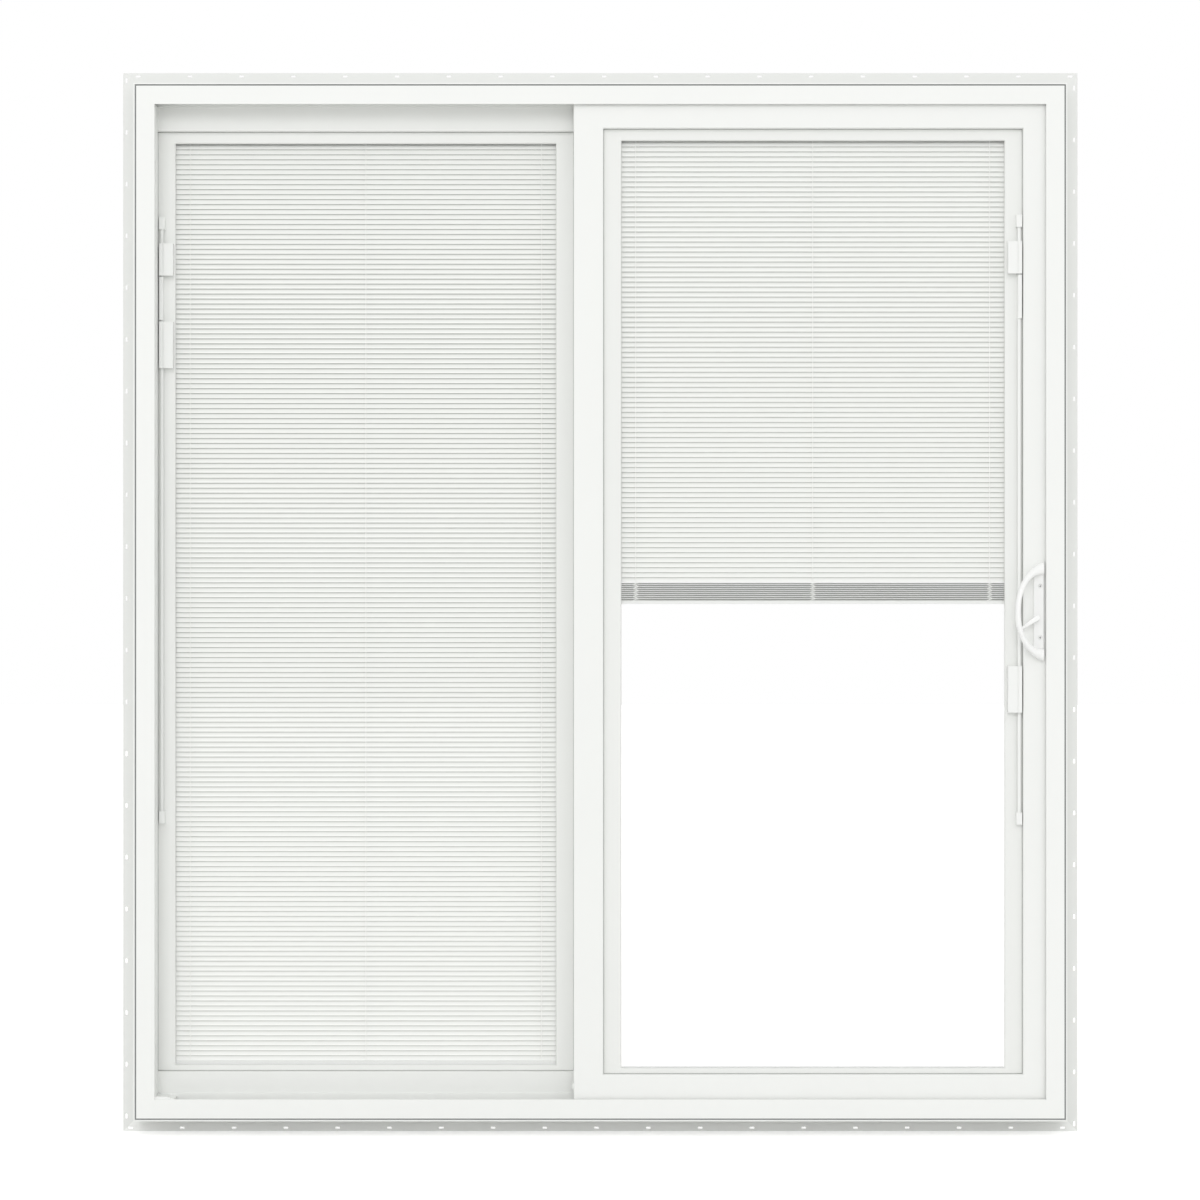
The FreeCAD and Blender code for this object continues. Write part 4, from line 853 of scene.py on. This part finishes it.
def thumb_lever():
    """The thumb lever: a hub on the plate and an arm that slims towards its round end."""
    low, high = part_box("thumb_lever")
    hub = Vector((high.x - LEVER_HUB, high.z - LEVER_HUB))
    tip = hub + Vector(LEVER_TIP)
    rings = [(low.y + LEVER_ROUND * (1 - math.sin(turn)), LEVER_ROUND * (1 - math.cos(turn)))
             for turn in (math.pi / 2, math.pi / 3, math.pi / 6, 0.0)]
    rings.append((low.y + LEVER_DEPTH - LEVER_ROUND / 2, 0.0))
    rings.append((low.y + LEVER_DEPTH, LEVER_ROUND / 2))
    outlines = {y: capsule(hub, tip, LEVER_HUB, LEVER_SLIM, inset) for y, inset in rings}
    shape = bmesh.new()
    sweep(shape, lambda y: [(x, y, z) for x, z in outlines[y]], [y for y, _ in rings])
    add_cord(shape, (hub.x, low.y + LEVER_DEPTH / 2, hub.y), (hub.x, high.y, hub.y),
             LEVER_HUB - LEVER_ROUND, 2 * CAPSULE_STEPS)
    lever = piece_from("latch_lever", shape, "handle", "thumb_lever")
    rounded_look(lever)
    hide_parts("thumb_lever")


def ring_path(shape, low, high, section):
    """A mitred ring in the plane of the door: a section's inset and depth round two corners."""
    loops = []
    for inset, y in section:
        left, bottom, right, top = low.x + inset, low.z + inset, high.x - inset, high.z - inset
        corners = ((left, bottom), (right, bottom), (right, top), (left, top))
        loops.append([shape.verts.new((x, y, z)) for x, z in corners])
    for first, second in zip(loops, loops[1:] + loops[:1]):
        for index in range(4):
            following = (index + 1) % 4
            shape.faces.new((first[index], first[following], second[following], second[index]))


def flat_ring(shape, low, high, inset, width, y, proud):
    """A ring of a rectangular section that lies on a face at Y, towards the room."""
    ring_path(shape, low, high, ((inset, y), (inset + width, y), (inset + width, y - proud),
                                 (inset, y - proud)))


def gaskets():
    """Rubber wedges between the glass and the panels' outside flanges."""
    for name, body in BODY_OF.items():
        low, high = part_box(f"{name}_glazing_bead")
        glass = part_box(f"{name}_glass_panes")[1].y
        across, out = GASKET_SLANT
        shape = bmesh.new()
        ring_path(shape, low, high,
                  ((FLANGE, glass), (FLANGE + GASKET_WIDTH, glass),
                   (FLANGE + GASKET_WIDTH * across, glass + GASKET_PROUD * out),
                   (FLANGE, glass + GASKET_PROUD)))
        piece_from(f"{name}_gasket", shape, "gasket", body)


def bead_joints_and_shade():
    """Grey joints where the glazing beads meet the rails and stiles, darkened further as painted
    shade of the deep corner there.
    """
    for name, body in BODY_OF.items():
        low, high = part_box(f"{name}_glazing_bead")
        shape = bmesh.new()
        flat_ring(shape, low, high, 0.0, JOINT_WIDTH, low.y, JOINT_PROUD)
        piece_from(f"{name}_bead_joint_and_shade", shape, "joint_and_shade", body)


def groove_shade_strip():
    """A grey strip of painted shade at the bottom of the groove round the frame's room face."""
    head_low, head_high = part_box("frame_head")
    low = Vector((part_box("frame_jamb_left")[0].x, 0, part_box("frame_sill")[0].z))
    high = Vector((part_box("frame_jamb_right")[1].x, 0, head_high.z))
    shape = bmesh.new()
    flat_ring(shape, low, high, GROOVE_EDGE, GROOVE_WIDTH, head_low.y + GROOVE_DEPTH,
              STRIP_THICKNESS)
    piece_from("groove_shade_strip", shape, "groove_shade", "frame")


def pile_strips():
    """Brush strips on the wall between the tracks, against the back of the sliding panel."""
    head_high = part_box("frame_head")[1]
    sill_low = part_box("frame_sill")[0]
    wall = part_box("jamb_cover")[1].y
    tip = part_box("sliding_rail_top")[1].y + PILE_CLEAR
    reach = head_high.x - JAMB_FACE
    section = ((-0.5, wall), (0.5, wall), (0.5, wall - PILE_BASE), (PILE_FOOT, wall - PILE_BASE),
               (PILE_TIP, tip), (-PILE_TIP, tip), (-PILE_FOOT, wall - PILE_BASE),
               (-0.5, wall - PILE_BASE))
    levels = (("head_pile", head_high.z - HEAD_PILE), ("sill_pile", sill_low.z + SILL_PILE))
    for name, level in levels:
        shape = bmesh.new()
        sweep(shape, lambda x: [(x, y, level + PILE_WIDTH * share) for share, y in section],
              (-reach, reach))
        piece_from(name, shape, "pile", "frame")
    across = head_high.x - JAMB_PILE
    ends = (sill_low.z + SILL_PILE + PILE_WIDTH, head_high.z - HEAD_PILE - PILE_WIDTH)
    shape = bmesh.new()
    sweep(shape, lambda z: [(across + PILE_WIDTH * share, y, z) for share, y in section], ends)
    piece_from("jamb_pile", shape, "pile", "frame")


def stile_bumper():
    """The small white stop on the edge of the sliding panel's meeting stile, low down."""
    low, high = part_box("sliding_stile_meeting")
    y = (low.y + high.y) / 2
    corners = ((-1, -1), (1, -1), (1, 1), (-1, 1))
    rings = ((0.0, 0.0), (BUMPER_PROUD - BUMPER_ROUND, 0.0), (BUMPER_PROUD, BUMPER_ROUND))
    shape = bmesh.new()
    sweep(shape, lambda ring: [(low.x - ring[0], y + (BUMPER_DEPTH / 2 - ring[1]) * across,
                                BUMPER_LEVEL + (BUMPER_HEIGHT / 2 - ring[1]) * up)
                               for across, up in corners], rings)
    piece_from("stile_bumper", shape, "operator", "sliding_panel")


bpy.context.scene.view_settings.view_transform = "Standard"
build_camera()
build_world()
build_lights()
build_floor()
dress_nodes()
for panel in BODY_OF:
    blind(panel)
screws()
smooth_bow()
thumb_lever()
gaskets()
bead_joints_and_shade()
groove_shade_strip()
pile_strips()
stile_bumper()
